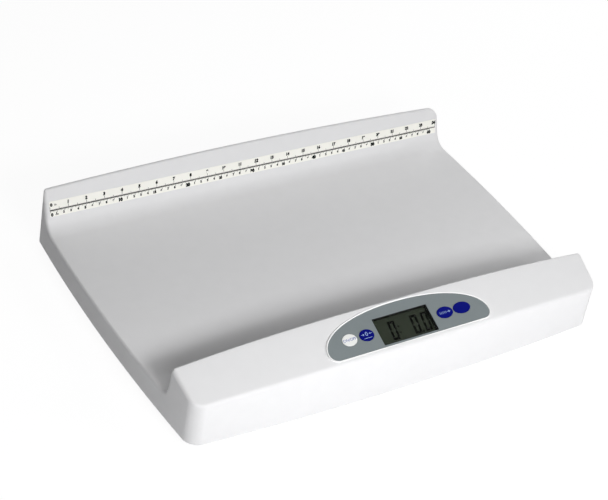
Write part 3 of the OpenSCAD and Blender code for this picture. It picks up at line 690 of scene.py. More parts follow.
class TrayForm:
    """Outline, section and frames of the tray, in millimetres from the skirt's foot."""

    lean = 0.018  # of the sides
    front_draft = 1.5
    rear_draft = 4
    wall_inset = 28.4  # from the back corners to the foot of the back wall
    back_top_t = 5
    lip_t = 1.2  # least thickness of the wall's top
    top_web = 13
    edge_r = 6
    rear_r = 2.5
    back_r = 3
    mean_half = 300
    power = 2.6  # flatness of the console's crown
    rib_z = 23
    rib_half = 1
    pan_top = 7.5
    boss_in = 15  # from the sides to the bosses
    strip_rise = 26  # from the floor to the strip's middle line
    jack = (180, 14)  # place and height of the socket in the back
    share = 0.46  # most of an edge that one arc may take

    def __init__(self):
        t = looks().tray
        for key in TraySizes.__annotations__:
            setattr(self, key, getattr(t, key) * (1 if key == "back_lean" else 1000))
        # rounding of each line of the section at the tray's ends; crisper on the left
        self.rim_r = [self.corner_r, 4.5, 4, 3, 5, 18, 6]
        self.rim_left = [self.corner_r, 4.5, 4, 3, 5, 4, 7]
        self.skin_in = [self.wall] * 5 + [self.top_web, self.wall]
        self.wall_foot_y = self.tray_d - self.wall_inset
        self.body = Matrix.Translation((0, -(self.tray_d + BACK_BOW - FRONT_BOW) / 2, FOOT_H))
        edge_y = self.front_draft - FRONT_BOW
        edge_z = self.console_front_z + self.crown_front
        rise = self.console_back_z + self.crown_back - edge_z
        tilt = math.atan2(rise, self.console_d - edge_y)
        self.panel = self.body @ Matrix.Translation(
            (looks().panel.panel_x * 1000, edge_y, edge_z)
        ) @ Matrix.Rotation(tilt, 4, "X")
        line_z = FLOOR_Z + self.strip_rise
        self.strip = self.body @ Matrix.Translation(
            (0, self.wall_y(line_z), line_z)
        ) @ Matrix.Rotation(QUARTER - self.back_lean, 4, "X")

    def side_x(self, y, z):
        t = min(max(y / self.tray_d, 0), 1)
        half = self.front_w / 2 + (self.back_w - self.front_w) / 2 * t
        return half + self.side_bow * 4 * t * (1 - t) - self.lean * z

    def wall_y(self, z):
        return self.wall_foot_y + (z - FLOOR_Z) * math.tan(self.back_lean)

    def corners(self, u):
        """The section's corners at u, from -1 at the left end to 1 at the right."""
        bow = 1 - u * u
        crown = 1 - abs(u) ** self.power
        top = self.back_z + self.back_arch * bow
        return [Vector(p) for p in (
            (-FRONT_BOW * bow, 0),
            (self.front_draft - FRONT_BOW * bow, self.console_front_z + self.crown_front * crown),
            (self.console_d, self.console_back_z + self.crown_back * crown),
            (self.console_d + self.rear_draft, FLOOR_Z),
            (self.wall_foot_y, FLOOR_Z),
            (self.wall_y(top), top),
            (self.wall_y(top) + self.back_top_t, top),
            (self.tray_d + BACK_BOW * bow, 0),
        )]

    def section(self, u, inset, z0):
        """The corners of the section, each line set in, cut off level at z0."""
        p = self.corners(u)
        lines = []
        for a, b, depth in zip(p, p[1:], inset):
            v = b - a
            lines.append((a + Vector((v.y, -v.x)).normalized() * depth, v))

        def meet(a, b):
            w = b[0] - a[0]
            return a[0] + a[1] * (w.cross(b[1]) / a[1].cross(b[1]))

        # at its ends the wall grows thin, and its top sinks to where the two faces leave a lip
        (inner, up), (top, along), (outer, down) = lines[4:]
        lean_in, lean_out = up.x / up.y, down.x / down.y
        level = (outer.x - inner.x - self.lip_t - outer.y * lean_out + inner.y * lean_in) / (
            lean_in - lean_out)
        lines[5] = (Vector((top.x, min(top.y, level))), along)
        feet = [a + v * ((z0 - a.y) / v.y) for a, v in (lines[0], lines[6])]
        return [feet[0]] + [meet(a, b) for a, b in zip(lines, lines[1:])] + [feet[1]]

    def arc(self, c, at, r, n):
        """Points of the arc that rounds the section's corner of that number."""
        a, b, c = c[at - 1:at + 2]
        va, vc = (a - b).normalized(), (c - b).normalized()
        half = math.acos(max(-1, min(1, va.dot(vc)))) / 2
        t = min(r / math.tan(half), self.share * (a - b).length, self.share * (c - b).length)
        m = b + (va + vc).normalized() * (t / math.cos(half))
        s = b + va * t - m
        turn = -(math.pi - 2 * half) * (1 if va.cross(vc) > 0 else -1)
        out = []
        for k in range(n + 1):
            cos, sin = math.cos(turn * k / n), math.sin(turn * k / n)
            out.append(m + Vector((s.x * cos - s.y * sin, s.x * sin + s.y * cos)))
        return out

    def chain(self, c, u, t, fine):
        """The section as a run of points: an arc at each corner, steps on the long faces."""
        back_r = max(self.back_r - t, 0.6)
        radii = (self.edge_r - t, max(self.rear_r - t, 0.6),
                 (self.console_fillet + t) * (1 - 0.5 * abs(u) ** 8),
                 self.back_fillet + t, back_r, back_r)
        counts = (10, 8, 22, 16, 10, 10) if fine else (4, 4, 8, 6, 3, 3)
        # steps before each corner's arc
        between = (1, 8, 1, 22, 8, 1) if fine else (1, 1, 1, 6, 1, 1)
        out = [c[0]]
        for at, (r, n, steps) in enumerate(zip(radii, counts, between), 1):
            arc = self.arc(c, at, r, n)
            out += [out[-1].lerp(arc[0], k / steps) for k in range(1, steps)] + arc
        return out + [c[7]]

    def stations(self, nr, nm):
        """Each section's u, its distance from the side face, and its share of the width."""
        r = self.corner_r
        rim = [r * (1 - math.cos(QUARTER * k / nr)) for k in range(nr)]
        out = [(d / self.mean_half - 1, d, -1) for d in rim]
        for k in range(nm + 1):
            s = 2 * k / nm - 1
            out.append((s * (1 - r / self.mean_half), r, s))
        return out + [(1 - d / self.mean_half, d, 1) for d in reversed(rim)]

    def skin(self, t, inset, z0, nr, nm, fine=True):
        """Closed body under the skin, set in by t, with a flat underside at z0."""
        rows = []
        for u, d, s in self.stations(nr, nm):
            rim = self.rim_left if s < 0 and d < self.corner_r else self.rim_r
            insets = []
            for r, depth in zip((max(r - t, 1) for r in rim), inset):
                drop = 0 if d >= r else r - math.sqrt(r * r - (r - d) ** 2)
                insets.append(depth + drop)
            chain = self.chain(self.section(u, insets, z0), u, t, fine)
            rows.append([(s * (self.side_x(p.x, p.y) - t - d), p.x, p.y) for p in chain])
        n, m = len(rows[0]), len(rows)
        points = [p for row in rows for p in row]
        faces = [
            (j * n + i, j * n + i + 1, (j + 1) * n + i + 1, (j + 1) * n + i)
            for j in range(m - 1) for i in range(n - 1)
        ]
        left, right, last = n * m - 1, n * m + n - 3, n * (m - 1)
        for side, row in ((-1, rows[0]), (1, rows[-1])):
            points += [(side * (self.side_x(p[1], z0) - t), p[1], z0) for p in row[1:-1]]
        faces += [(i, left + i, left + i + 1, i + 1) for i in range(1, n - 2)]
        faces += [(0, left + 1, 1), (n - 2, left + n - 2, n - 1)]
        faces += [(last + i, last + i + 1, right + i + 1, right + i) for i in range(1, n - 2)]
        faces += [(last, last + 1, right + 1), (last + n - 2, last + n - 1, right + n - 2)]
        faces.append(tuple(
            [j * n for j in range(m)] + [right + i for i in range(1, n - 1)]
            + [j * n + n - 1 for j in reversed(range(m))]
            + [left + i for i in reversed(range(1, n - 1))]
        ))
        made = mesh_object("skin", points, faces, self.body)
        made.data.flip_normals()
        return made

    def bosses(self):
        """Where the pan's screws go in."""
        at = [(self.side_x(t * self.tray_d, 0) - self.boss_in, t * self.tray_d)
              for t in (0.13, 0.5, 0.9)] + [(60, self.tray_d - 14), (180, 10)]
        pairs = (at[:3], at[3:4], at[4:])
        return [(s * x, y) for group in pairs for s in (-1, 1) for x, y in group]

    def on_body(self, places, z):
        """Places on the body's frame, in metres."""
        return [tuple((self.body @ Vector((x, y, z))) / 1000) for x, y in places]


class PanelForm:
    """Outline of the half-moon panel and the places on it, in millimetres on the slope."""

    arch_y = 18
    foot_y = 7.3
    power = 2.1  # squareness of the arch
    lower_r = 11.5
    low_border = 1
    ledge_in = 9  # from the sheet's edge to the opening in the bed
    ledge_n = -6  # underside of the bed
    window_y = 28.2
    key_y = 29
    lens_lap = 3.2
    lens_t = 1.25
    collar = 1.2
    holder_wall = 1.8
    post_r, peg_r, pilot_r = 3, 1.8, 1.1
    post_in = 4.2  # from the opening's edge to the posts
    glass_more = (4, 5)  # how much wider and higher the glass is than the window
    key_gap = 4.4  # from the holder to the keys' zone
    ends = {-1: 22.9, 1: 23.2}  # from the sheet's ends to the outer keys

    def __init__(self):
        p = looks().panel
        for key in ("panel_w", "panel_rise", "border", "window_x", "window_w", "window_h"):
            setattr(self, key, getattr(p, key) * 1000)
        self.key_h = looks().keys.key_h * 1000
        self.frame_w, self.frame_h = (size + more + 2 * self.holder_wall for size, more in zip(
            (self.window_w, self.window_h), self.glass_more))
        self.keys = [self.key_at(-1, 0.746, 0.462), self.key_at(-1, 0.185, 0.462),
                     self.key_at(1, 0.224, 0.47), self.key_at(1, 0.746, 0.507)]
        self.posts = [self.on_arch(-self.ledge_in - self.post_in, a) for a in (8, 60, 120, 172)]
        self.pegs = [self.on_arch((self.border - self.ledge_in) / 2, a) for a in (4, 52, 128, 176)]

    def key_at(self, side, place, width):
        """A key's middle and width, from its shares of the zone beside the window."""
        start = self.frame_w / 2 + self.key_gap + side * self.window_x
        zone = self.panel_w / 2 - self.ends[side] - start
        return side * (start + zone * place), zone * width

    def key_holes(self, matrix, n0, n1):
        return [prism(oval(w + 2 * SLIP, self.key_h + 2 * SLIP, x=x, y=self.key_y), n0, n1, matrix)
                for x, w in self.keys]

    def window_box(self, grown, n0, n1, matrix, y=window_y, size=None):
        """A box round the window's middle, its size grown to each side."""
        w, h = size or (self.window_w, self.window_h)
        w, h = w / 2 + grown, h / 2 + grown
        x = self.window_x
        return box((x - w, y - h, n0), (x + w, y + h, n1), matrix)

    def on_arch(self, e, angle):
        c, s = math.cos(math.radians(angle)), math.sin(math.radians(angle))
        return (math.copysign((self.panel_w / 2 + e) * abs(c) ** (2 / self.power), c),
                self.arch_y + (self.panel_rise + e) * abs(s) ** (2 / self.power))

    def moon(self, e, f, arch=144, turn=14):
        """The half-moon grown by e round its arch and by f at its foot."""
        out = [self.on_arch(e, 180 * k / arch) for k in range(arch + 1)]
        r = max(self.lower_r + e, 2)
        drop = self.arch_y - self.foot_y + f
        half = self.panel_w / 2 + e
        corner = [(r * (1 - math.cos(a)), self.arch_y - drop * math.sin(a))
                  for a in (QUARTER * k / turn for k in range(1, turn + 1))]
        out += [(x - half, y) for x, y in corner]
        return out + [(half - x, y) for x, y in reversed(corner)]


def lettering(name, words, matrix):
    """Printed figures: (text, x, y, height, weight, slant) in millimetres on a frame's face."""
    made = []
    for text, x, y, height, weight, slant in words:
        letters = bpy.data.curves.new("letters", "FONT")
        letters.body = text
        letters.align_x, letters.align_y = "CENTER", "CENTER"
        letters.size = height / 0.7
        letters.offset = weight * letters.size
        letters.shear = slant
        letters.resolution_u = 3
        letters.extrude = PRINT_T / 2
        holder = shown("letters", letters)
        mesh = evaluated_mesh(holder)
        bpy.data.objects.remove(holder)
        mesh.transform(TO_METRES @ matrix @ Matrix.Translation((x, y, PRINT_T / 2)))
        made.append(shown("letters", mesh))
    return merge(name, made)


# ------------------------------------------------------------------ operators


class SCALE_OT_tray(bpy.types.Operator):
    """Builds the smooth moulded tray with its inner skin, ribs and bosses"""

    bl_idname = "scale.tray"
    bl_label = "Moulded Tray"

    rib_pitch = 80
    floor_ribs = (0.32, 0.49, 0.68, 0.85)  # shares of the depth
    console_ribs = (0.516, 0.733, 0.917)  # shares of half the front
    boss_r = (4.5, 5.2)  # at the foot and at the root
    screw_hole_r = 1.6
    socket_hole_r = 5.7

    def execute(self, context):
        t, p = TrayForm(), PanelForm()
        shell = t.skin(0, [0] * 7, 0, 16, 84)
        room = t.skin(t.wall, t.skin_in, -1, 6, 26, fine=False)
        h = t.rib_half
        ribs = [box((x - h, t.console_d + 8, t.rib_z), (x + h, t.tray_d, 96), t.body)
                for x in (k * self.rib_pitch for k in range(-3, 4))]
        ribs += [box((-t.back_w / 2, q * t.tray_d, t.rib_z),
                     (t.back_w / 2, q * t.tray_d + 2 * h, FLOOR_Z - 1), t.body)
                 for q in self.floor_ribs]
        for x in (side * q * t.front_w / 2 for side in (-1, 1) for q in self.console_ribs):
            ribs.append(box((x - h, -20, 20), (x + h, t.console_d + 10, 99), t.body))
        bosses = [
            loft([[(a, b, z) for a, b in oval(2 * r, 2 * r, 24, x, y)]
                  for r, z in zip(self.boss_r, (t.pan_top + 0.1, FLOOR_Z + 60))], t.body)
            for x, y in t.bosses()
        ]
        pad = box((-p.panel_w / 2 - 8, 3.5, p.ledge_n), (p.panel_w / 2 + 8, 70, 10), t.panel)
        carve(room, ribs + bosses + [pad])
        bed, through = PLATE_N - 0.1, p.ledge_n - 4
        jack_x, jack_z = t.jack
        jack = t.body @ Matrix.Translation(
            (jack_x, t.tray_d + 5, jack_z)) @ Matrix.Rotation(QUARTER, 4, "X")
        carve(shell, [
            room,
            *(disc(x, y, self.screw_hole_r, -1, t.rib_z - 3, t.body, 24) for x, y in t.bosses()),
            prism(p.moon(p.border + FINE, p.low_border + FINE), bed, 20, t.panel),
            prism(p.moon(-p.ledge_in, -p.ledge_in, 72, 8), through, bed + 1, t.panel),
            p.window_box(SLIP, through, bed + 1, t.panel, p.window_y + 1, (p.frame_w, p.frame_h)),
            *(disc(x, y, p.peg_r + SLIP, through, bed + 1, t.panel, 24) for x, y in p.pegs),
            disc(0, 0, self.socket_hole_r, 0, 15, jack, 40),
        ])
        finished(shell, "tray_moulding", "housing", "tray", ["tray_shell"], 24)
        return {"FINISHED"}


class SCALE_OT_strip(bpy.types.Operator):
    """Prints inches over centimetres on the measuring strip"""

    bl_idname = "scale.strip"
    bl_label = "Measuring Strip"

    zero = -305.0
    inch = 25.4

    def execute(self, context):
        s, t = looks().strip, TrayForm()
        zero, inch, half_line = self.zero, self.inch, s.line_h * 500
        paint(film="ruler_strip")
        face = t.strip @ Matrix.Translation((0, 0, GLUE + STRIP_T + 0.01))
        rows = []
        # inches rise from the upper edge of the middle line, centimetres hang from the lower
        for count, pitch, short, middle, long_, mid, big, foot in (
            (s.inches * 16 + 1, inch / 16, 0.9, 2.6, 4.4, 8, 16, half_line),
            (s.centimetres * 10 + 1, 1, -0.9, -1.7, -2.9, 5, 10, -half_line),
        ):
            rows.append(grow(
                mesh_object("ticks", [], []), TREES["ticks"], "ink", start=zero / 1000,
                count=count, pitch=pitch / 1000, tick_width=s.tick_w, short=short / 1000,
                middle=middle / 1000, long=long_ / 1000, middle_every=mid, long_every=big,
                foot=foot / 1000))
        rows.append(box((zero - 0.5, -half_line, 0), (zero + 610.2, half_line, PRINT_T)))
        lines = merge("strip_lines", rows, face)
        words = [("0", zero + 2.2, 7.2, 4.0, 0.08, 0), ("0", zero + 2.2, -6.2, 4.0, 0.08, 0),
                 ("in", zero + 8, 7.0, 2.8, 0.03, 0), ("cm", zero + 9, -6.2, 2.6, 0.03, 0)]
        for k in range(1, s.inches + 1):
            height, slant = (3.8, 0.1) if k % 12 else (4.2, 0.25)
            shift = 2.5 if k == s.inches else 0
            words.append((str(k), zero + inch * k - shift, 7.3, height, 0.09, slant))
        for k in range(1, s.centimetres + 1):
            text, y, height, weight = (str(k % 10), -5.0, 2.8, 0.09) if k % 5 else (
                str(k), -5.6, 3.3 if k % 10 else 4.1, 0.09 if k % 10 else 0.1)
            words.append((text, zero + 10 * k - 1.5, y, height, weight, 0))
        for made in (lines, lettering("strip_figures", words, face)):
            finished(made, made.name, "housing", "ink", sharp=0)
        return {"FINISHED"}


class SCALE_OT_panel(bpy.types.Operator):
    """Builds the light border, the grey sheet and the display with its figures"""

    bl_idname = "scale.panel"
    bl_label = "Control Panel"

    # which sides of the figure are lit: top a, then clockwise to f, middle g
    lit = {"0": "abcdef", "1": "bc", "2": "abged", "3": "abgcd", "4": "fgbc", "5": "afgcd",
           "6": "afgedc", "7": "abc", "8": "abcdefg", "9": "abcdfg"}
    low, high, wide = 14.0, 39.4, 9.8
    lefts = (-25.6, 6.8, 22.5)
    dots = ((-11.2, 30.2), (-11.8, 22.1), (18.8, 15.2))
    thick, gap, slant, dot = 3.0, 0.1, 0.09, 2.4
    edge_right, edge_top = 2.1, 1.2  # widths of the painted shade on the glass along the window's right and top

    def carrier(self, t, p):
        # shares of the border's width and heights, from its foot over the crest to the sheet
        run = [(1, PLATE_N), (1, 0.05), (0.99, 0.25), (0.96, 0.45), (0.91, 0.62), (0.84, 0.75),
               (0.75, 0.84), (0.66, 0.86), (0.58, 0.8), (0.1, 0.06), (0.05, 0.03)]
        rings = [[(x, y, n) for x, y in p.moon(p.border * k, p.low_border * k)] for k, n in run]
        rings.append([(x, y, -SHEET_T) for x, y in p.moon(GLUE, GLUE)])
        plate = carve(loft(rings, t.panel), [
            p.window_box(p.collar, -9, 1, t.panel),
            p.window_box(p.lens_lap, -SHEET_T - p.lens_t, -SHEET_T + GLUE, t.panel),
            *p.key_holes(t.panel, -9, 1),
        ])
        carve(plate, [
            *(disc(x, y, p.post_r, -10.5, PLATE_N + 0.5, t.panel, 32) for x, y in p.posts),
            *(disc(x, y, p.peg_r, -8, PLATE_N + 0.2, t.panel, 24) for x, y in p.pegs),
        ], "UNION")
        carve(plate, [disc(x, y, p.pilot_r, -12, -5.5, t.panel, 16) for x, y in p.posts])
        finished(plate, "panel_border", "housing", "panel_white",
                 ["panel_carrier"], 30)
        # the well under the window is black
        plate.data.materials.append(MATERIALS["black"])
        to_panel = (TO_METRES @ t.panel).inverted()
        w, h = (size / 2 + p.collar + 0.1 for size in (p.window_w, p.window_h))
        for face in plate.data.polygons:
            c = to_panel @ face.center
            if abs(c.x - p.window_x) < w and abs(c.y - p.window_y) < h and c.z < -SHEET_T - 1:
                face.material_index = 1

    def sheet(self, t, p):
        window = rounded_rect(p.window_x, p.window_y, p.window_w, p.window_h, 0.6)
        sheet = carve(prism(p.moon(0, 0), GLUE - SHEET_T, 0, t.panel),
                      [prism(window, -2, 1, t.panel), *p.key_holes(t.panel, -2, 1)])
        finished(sheet, "panel_overlay", "housing", "grey", ["panel_sheet"], 30)

    def figures(self, t, p):
        """Seven-segment figures, a colon and a point, from one bar shape."""
        low, high, thick = self.low, self.high, self.thick
        middle = (low + high) / 2
        half = thick / 2
        made = []
        for text, left in zip(looks().panel.reading, self.lefts):
            right = left + self.wide
            # each side's ends, which way its outer face lies, and how far its ends are cut back
            spans = {
                "a": ((left, high), (right, high), 1, thick, thick),
                "b": ((right, middle), (right, high), -1, half, thick),
                "c": ((right, low), (right, middle), -1, thick, half),
                "d": ((left, low), (right, low), -1, thick, thick),
                "e": ((left, low), (left, middle), 1, thick, half),
                "f": ((left, middle), (left, high), 1, half, thick),
                "g": ((left, middle), (right, middle), 0, half, half),
            }
            for a, b, outer, cut_a, cut_b in (spans[part] for part in self.lit[text]):
                a, b = Vector(a), Vector(b)
                along = (b - a).normalized()
                side = Vector((-along.y, along.x))
                a, b = a + along * self.gap, b - along * self.gap
                in_a, in_b = a + along * cut_a, b - along * cut_b
                if outer:
                    inward = side * outer * thick
                    shape = [a, b, in_b - inward, in_a - inward]
                else:
                    up = side * half
                    shape = [a, in_a + up, in_b + up, b, in_b - up, in_a - up]
                outline = [(q.x + self.slant * (q.y - low), q.y) for q in shape]
                made.append(prism(outline, 0, SEGMENT_T))
        for x, y in self.dots:
            made.append(prism(rounded_rect(x, y, self.dot, self.dot, 0.3, 3), 0, SEGMENT_T))
        # painted shade: dark bands on the glass along the top and the right of the window, where
        # its inner walls lie in shadow
        w, h = p.window_w / 2 - 0.1, p.window_h / 2 - 0.1
        left, right = p.window_x - w, p.window_x + w
        foot, top = p.window_y - h, p.window_y + h
        inner = right - self.edge_right
        made.append(box((inner, foot, 0), (right, top, SEGMENT_T)))
        made.append(box((left, top - self.edge_top, 0), (inner, top, SEGMENT_T)))
        reading = merge("figures", made, t.panel @ Matrix.Translation((0, 0, GLASS_FACE + 0.02)))
        finished(reading, "display_figures", "housing", "figure", sharp=0)

    def execute(self, context):
        t, p = TrayForm(), PanelForm()
        self.carrier(t, p)
        self.sheet(t, p)
        self.figures(t, p)
        paint(lens="display_lens", glass="lcd_glass", black="lcd_frame", zebra="lcd_connectors")
        return {"FINISHED"}


class SCALE_OT_keys(bpy.types.Operator):
    """Builds the four oval keys with their ears, stems and plain marks"""

    bl_idname = "scale.keys"
    bl_label = "Keys"

    crown = 0.12
    shoulder = 0.4
    ear_drop, ear_t = 1.4, 1.2
    ear_half, ear_reach = 4, 1.6
    stem_r, stem_n = 2.4, -6.05

    def cap(self, t, p, x, w):
        edge = KEY_TOP - self.crown - self.shoulder
        low, reach = PLATE_N - self.ear_drop, p.key_h / 2 + self.ear_reach
        rings = [(0, low), (0, edge)]
        rings += [(self.shoulder * (1 - math.cos(a)), edge + self.shoulder * math.sin(a))
                  for a in (QUARTER * k / 6 for k in range(1, 7))]
        sizes = [(w - 2 * off, p.key_h - 2 * off, n) for off, n in rings]
        sizes += [((w - 2 * self.shoulder) * share, (p.key_h - 2 * self.shoulder) * share,
                   KEY_TOP - self.crown * share * share) for share in (0.8, 0.6, 0.4, 0.2, 0.06)]
        cap = loft([[(a, b, n) for a, b in oval(width, height, x=x, y=p.key_y)]
                    for width, height, n in sizes], t.panel)
        ears = box((x - self.ear_half, p.key_y - reach, low),
                   (x + self.ear_half, p.key_y + reach, low + self.ear_t), t.panel)
        stem = disc(x, p.key_y, self.stem_r, self.stem_n, low + 0.5, t.panel, 32)
        return carve(cap, [ears, stem], "UNION")

    def execute(self, context):
        t, p = TrayForm(), PanelForm()
        names = ("power", "clear", "release", "units")
        for (x, w), name in zip(p.keys, names):
            look = "key_white" if name == "power" else "key_blue"
            finished(self.cap(t, p, x, w), f"cap_{name}", f"{name}_key", look,
                     [f"key_{name}"], 40)
        paint(plunger=" ".join(f"plunger_{name}" for name in names), switch="switch_bodies")
        if looks().keys.legends:
            face = t.panel @ Matrix.Translation((0, p.key_y, KEY_TOP + 0.005))
            marks = (self.words, self.zero_mark, self.hold_mark)
            for name, (x, _), draw in zip(names, p.keys, marks):
                tone = "blue" if name == "power" else "white"
                finished(draw(face, x), f"legend_{name}", f"{name}_key", f"legend_{tone}",
                         sharp=0)
        return {"FINISHED"}

    def words(self, face, x):
        return lettering("legend", [("ON/OFF", x, 0, 3.5, 0.0, 0)], face)

    def zero_mark(self, face, x):
        """Two arrows that point at a nought, over a bar."""
        made = [lettering("nought", [("0", x, 1.2, 5.2, 0.01, 0)], face)]
        for s in (-1, 1):
            tip, tail, end = x + s * 3.0, x + s * 5.2, x + s * 7.8
            made.append(prism([(tip, 1.2), (tail, 2.7), (tail, -0.3)], 0, PRINT_T, face))
            made.append(box((min(tail, end), 0.85, 0), (max(tail, end), 1.55, PRINT_T), face))
        made.append(box((x - 5.8, -4.4, 0), (x + 5.8, -3.7, PRINT_T), face))
        return merge("zero_mark", made, Matrix.Identity(4))

    def hold_mark(self, face, x):
        """A row of thin bars with an arrow at its end."""
        made = [box((x + k - 0.35, -1.6, 0), (x + k + 0.35, 1.6, PRINT_T), face)
                for k in (-7.6, -5.4, -3.2, -1, 1.2)]
        made.append(box((x + 2.6, -0.35, 0), (x + 5.4, 0.35, PRINT_T), face))
        made.append(prism([(x + 8.2, 0), (x + 5.2, 1.7), (x + 5.2, -1.7)], 0, PRINT_T, face))
        return merge("hold_mark", made, Matrix.Identity(4))


class SCALE_OT_underside(bpy.types.Operator):
    """Finishes the pan, its door, screws and load-cell feet"""

    bl_idname = "scale.underside"
    bl_label = "Underside"

    pad_profile = (
        (0.05, 0.9), (6, 0.9), (6.4, 0.5), (8.6, 0.5), (9, 0), (10.6, 0), (11, 0.6), (12.4, 0.6),
        (12.8, 0), (14.4, 0), (14.8, 0.6), (16, 0.6), (16.4, 0), (17.2, 0), (17.75, 0.25),
        (18, 0.8), (18, 2.4), (17.6, 3), (0.05, 3),
    )
    feet = (137, 19, 46)  # from the middle, the front and the back
    seat_z = 4.9

    @staticmethod
    def screw(shank, reach, head, height):
        """Cross-recessed pan head below z = 0, shank above it; millimetres."""
        made = turned([
            (0.05, -height), (head * 0.55, -height), (head * 0.85, -height * 0.75),
            (head, -height * 0.3), (head, 0), (shank, 0), (shank, reach - 0.8),
            (shank * 0.45, reach), (0.05, reach),
        ], 28)
        long_, thin, top, foot = head * 0.6, 0.4, -height - 1, -height * 0.5
        return carve(made, [box((-long_, -thin, top), (long_, thin, foot)),
                            box((-thin, -long_, top), (thin, long_, foot))])

    def execute(self, context):
        t = TrayForm()
        paint(pan="base_pan", door="battery_door", gauge="load_cells", nylon="cell_frames",
              cup="foot_cups")
        places = t.on_body(t.bosses(), self.seat_z)
        turns = [(0, 0, 0.5 * k) for k in range(len(places))]
        screws = repeated("screws", self.screw(1.5, 13, 3.4, 2), places, turns, "steel")
        finished(screws, "pan_fixings", "housing", "steel", ["pan_screws"], 35)
        x, front, back = self.feet
        places = t.on_body([(a, b) for a in (-x, x) for b in (front, t.tray_d - back)], -FOOT_H)
        pads = repeated("pads", turned(self.pad_profile, 64), places, None, "pad")
        finished(pads, "grip_pads", "housing", "pad", ["foot_pads"], 35)
        return {"FINISHED"}


class SCALE_OT_inside(bpy.types.Operator):
    """Finishes the boards, wiring, cells and contacts inside"""

    bl_idname = "scale.inside"
    bl_label = "Inside Parts"

    cell_w = 0.0145
    seat = 0.0002

    def execute(self, context):
        paint(board="display_board main_board", chip="display_chips main_chips",
              steel="board_screws main_screws push_nuts", cell="battery_cells",
              contact="contact_plates", ribbon="display_ribbon", wire_red="cell_wires",
              wire_black="battery_leads inlet_lead", inlet="power_inlet", beeper="beeper")
        low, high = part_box("contact_springs")
        cell_low, cell_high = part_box("battery_cells")
        pitch = (cell_high.x - cell_low.x - self.cell_w) / 3
        places, turns = [], []
        for k in range(4):
            y, turn = (high.y - self.seat, QUARTER) if k % 2 else (low.y + self.seat, -QUARTER)
            places.append(((k - 1.5) * pitch, y, (low.z + high.z) / 2))
            turns.append((turn, 0, 0))
        coils = grow(spots("coils", places, turns), TREES["spring"], "spring", turns=6.0,
                     wide_radius=0.0040, narrow_radius=0.0027, height=0.0077,
                     wire_radius=0.0003)
        finished(coils, "contact_coils", "housing", "spring",
                 ["contact_springs"], 60)
        return {"FINISHED"}


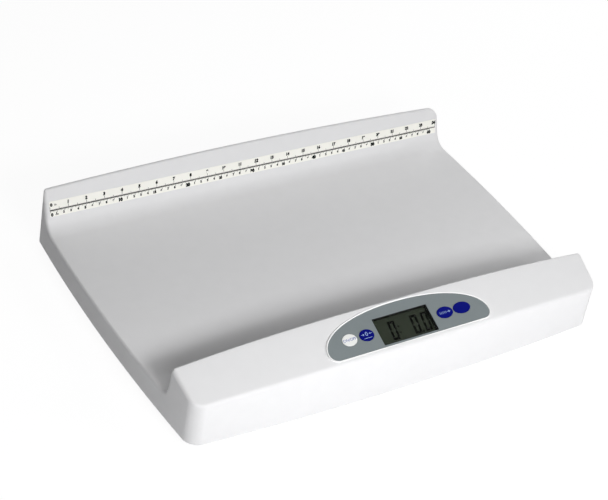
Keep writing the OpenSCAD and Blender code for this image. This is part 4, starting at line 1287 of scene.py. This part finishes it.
class SCALE_OT_stage(bpy.types.Operator):
    """Sets up the floor, the lamps, the world and the camera"""

    bl_idname = "scale.stage"
    bl_label = "Stage"

    floor_half = 3000
    floor_white, floor_share = 1.06, 0.88  # the floor's own light, and its share where it is seen
    lamp_reach = 1.6
    lamp_aim = (0, 0, 0.03)
    camera_at = (-0.92619, -1.18757, 1.21874)
    camera_turn = (36.8487, 37.681, 10.3474)  # azimuth, height and roll in degrees

    def execute(self, context):
        context.scene.view_settings.view_transform = "Standard"
        self.floor()
        self.world(context.scene)
        self.lamps()
        self.camera(context.scene)
        return {"FINISHED"}

    @staticmethod
    def seen_as(tree, lit, kind, strength, share, output):
        """Shows a plain white of its own to the rays of the camera, gloss and glass."""
        path = add_node(tree, "ShaderNodeLightPath").outputs
        rays = path["Is Camera Ray"]
        for name in ("Is Glossy Ray", "Is Transmission Ray"):
            rays = add_node(tree, "ShaderNodeMath", {0: rays, 1: path[name]},
                            operation="MAXIMUM").outputs[0]
        part = add_node(tree, "ShaderNodeMath", {0: rays, 1: share}, operation="MULTIPLY")
        white = add_node(tree, kind, {"Color": (1, 1, 1, 1), "Strength": strength})
        mix = add_node(tree, "ShaderNodeMixShader", {
            "Fac": part.outputs[0], 1: lit.outputs[0], 2: white.outputs[0],
        })
        tree.links.new(mix.outputs[0], tree.nodes[output].inputs["Surface"])

    def floor(self):
        d = self.floor_half
        made = mesh_object("floor", [(-d, -d, 0), (d, -d, 0), (d, d, 0), (-d, d, 0)],
                           [(0, 1, 2, 3)])
        mat = material("floor_paper", 0.9, Base_Color=looks().stage.floor, Specular_IOR_Level=0.0)
        tree = mat.node_tree
        self.seen_as(tree, tree.nodes["Principled BSDF"], "ShaderNodeEmission", self.floor_white,
                     self.floor_share, "Material Output")
        made.data.materials.append(mat)

    def world(self, scene):
        """White where it is seen; its own light is the fill."""
        scene.world = bpy.data.worlds.new("studio")
        scene.world.use_nodes = True
        tree = scene.world.node_tree
        soft = tree.nodes["Background"]
        soft.inputs["Color"].default_value = (1, 1, 1, 1)
        soft.inputs["Strength"].default_value = looks().stage.fill
        self.seen_as(tree, soft, "ShaderNodeBackground", 1.0, 1.0, "World Output")

    def lamps(self):
        """Soft lamps round the tray: azimuth from the front towards +X, elevation, size."""
        for name, azimuth, elevation, size in (
            ("front", -10, 32, (0.5, 0.3)), ("left", -35, 32, (0.5, 0.3)),
            ("right", 40, 32, (0.5, 0.3)), ("side", 118, 31, (0.6, 0.5)),
            ("back", 180, 60, (0.6, 0.5)),
        ):
            a, e = math.radians(azimuth), math.radians(elevation)
            way = Vector((math.cos(e) * math.sin(a), -math.cos(e) * math.cos(a), math.sin(e)))
            light = bpy.data.lights.new(f"{name}_lamp", "AREA")
            light.shape = "RECTANGLE"
            light.size, light.size_y = size
            light.energy = getattr(looks().stage, f"{name}_power")
            made = shown(light.name, light)
            made.location = way * self.lamp_reach
            aim = Vector(self.lamp_aim) - way * self.lamp_reach
            made.rotation_euler = aim.to_track_quat("-Z", "Y").to_euler()

    def camera(self, scene):
        data = bpy.data.cameras.new("camera")
        data.lens = looks().stage.lens
        data.sensor_width = 36
        data.clip_start, data.clip_end = 0.05, 20
        azimuth, height, roll = (math.radians(a) for a in self.camera_turn)
        ahead = Vector((math.sin(azimuth) * math.cos(height), math.cos(azimuth) * math.cos(height),
                        -math.sin(height)))
        right = Vector((math.cos(azimuth), -math.sin(azimuth), 0))
        up = right.cross(ahead)
        x = right * math.cos(roll) + up * math.sin(roll)
        y = up * math.cos(roll) - right * math.sin(roll)
        made = shown("camera", data)
        made.matrix_world = Matrix.Translation(self.camera_at) @ Matrix(
            (x, y, -ahead)).transposed().to_4x4()
        scene.camera = made


class SCALE_PT_panel(bpy.types.Panel):
    """Lists the sizes, colours and steps of the scale"""

    bl_idname = "SCALE_PT_panel"
    bl_label = "Baby Scale"
    bl_space_type = "VIEW_3D"
    bl_region_type = "UI"
    bl_category = "Baby Scale"

    def draw(self, context):
        layout = self.layout
        for group in ("tray", "strip", "panel", "keys", "stage"):
            held = getattr(looks(), group)
            part = layout.box()
            part.label(text=group.capitalize())
            for key in held.__annotations__:
                part.prop(held, key)
        for step in STEPS:
            layout.operator(step.bl_idname)


GROUPS = (TraySizes, StripPrint, PanelLooks, KeyLooks, StageLooks, ScaleLooks)
STEPS = (
    SCALE_OT_tray, SCALE_OT_strip, SCALE_OT_panel, SCALE_OT_keys, SCALE_OT_underside,
    SCALE_OT_inside, SCALE_OT_stage,
)


def register():
    for c in GROUPS + STEPS + (SCALE_PT_panel,):
        bpy.utils.register_class(c)
    bpy.types.Scene.baby_scale = PointerProperty(type=ScaleLooks)


def unregister():
    del bpy.types.Scene.baby_scale
    for c in reversed(GROUPS + STEPS + (SCALE_PT_panel,)):
        bpy.utils.unregister_class(c)


def main():
    register()
    MATERIALS.update(make_materials())
    TREES.update(ticks=tick_tree(), repeat=repeat_tree(), spring=spring_tree())
    bpy.ops.scale.tray()
    bpy.ops.scale.strip()
    bpy.ops.scale.panel()
    bpy.ops.scale.keys()
    bpy.ops.scale.underside()
    bpy.ops.scale.inside()
    bpy.ops.scale.stage()


if __name__ == "__main__":
    main()
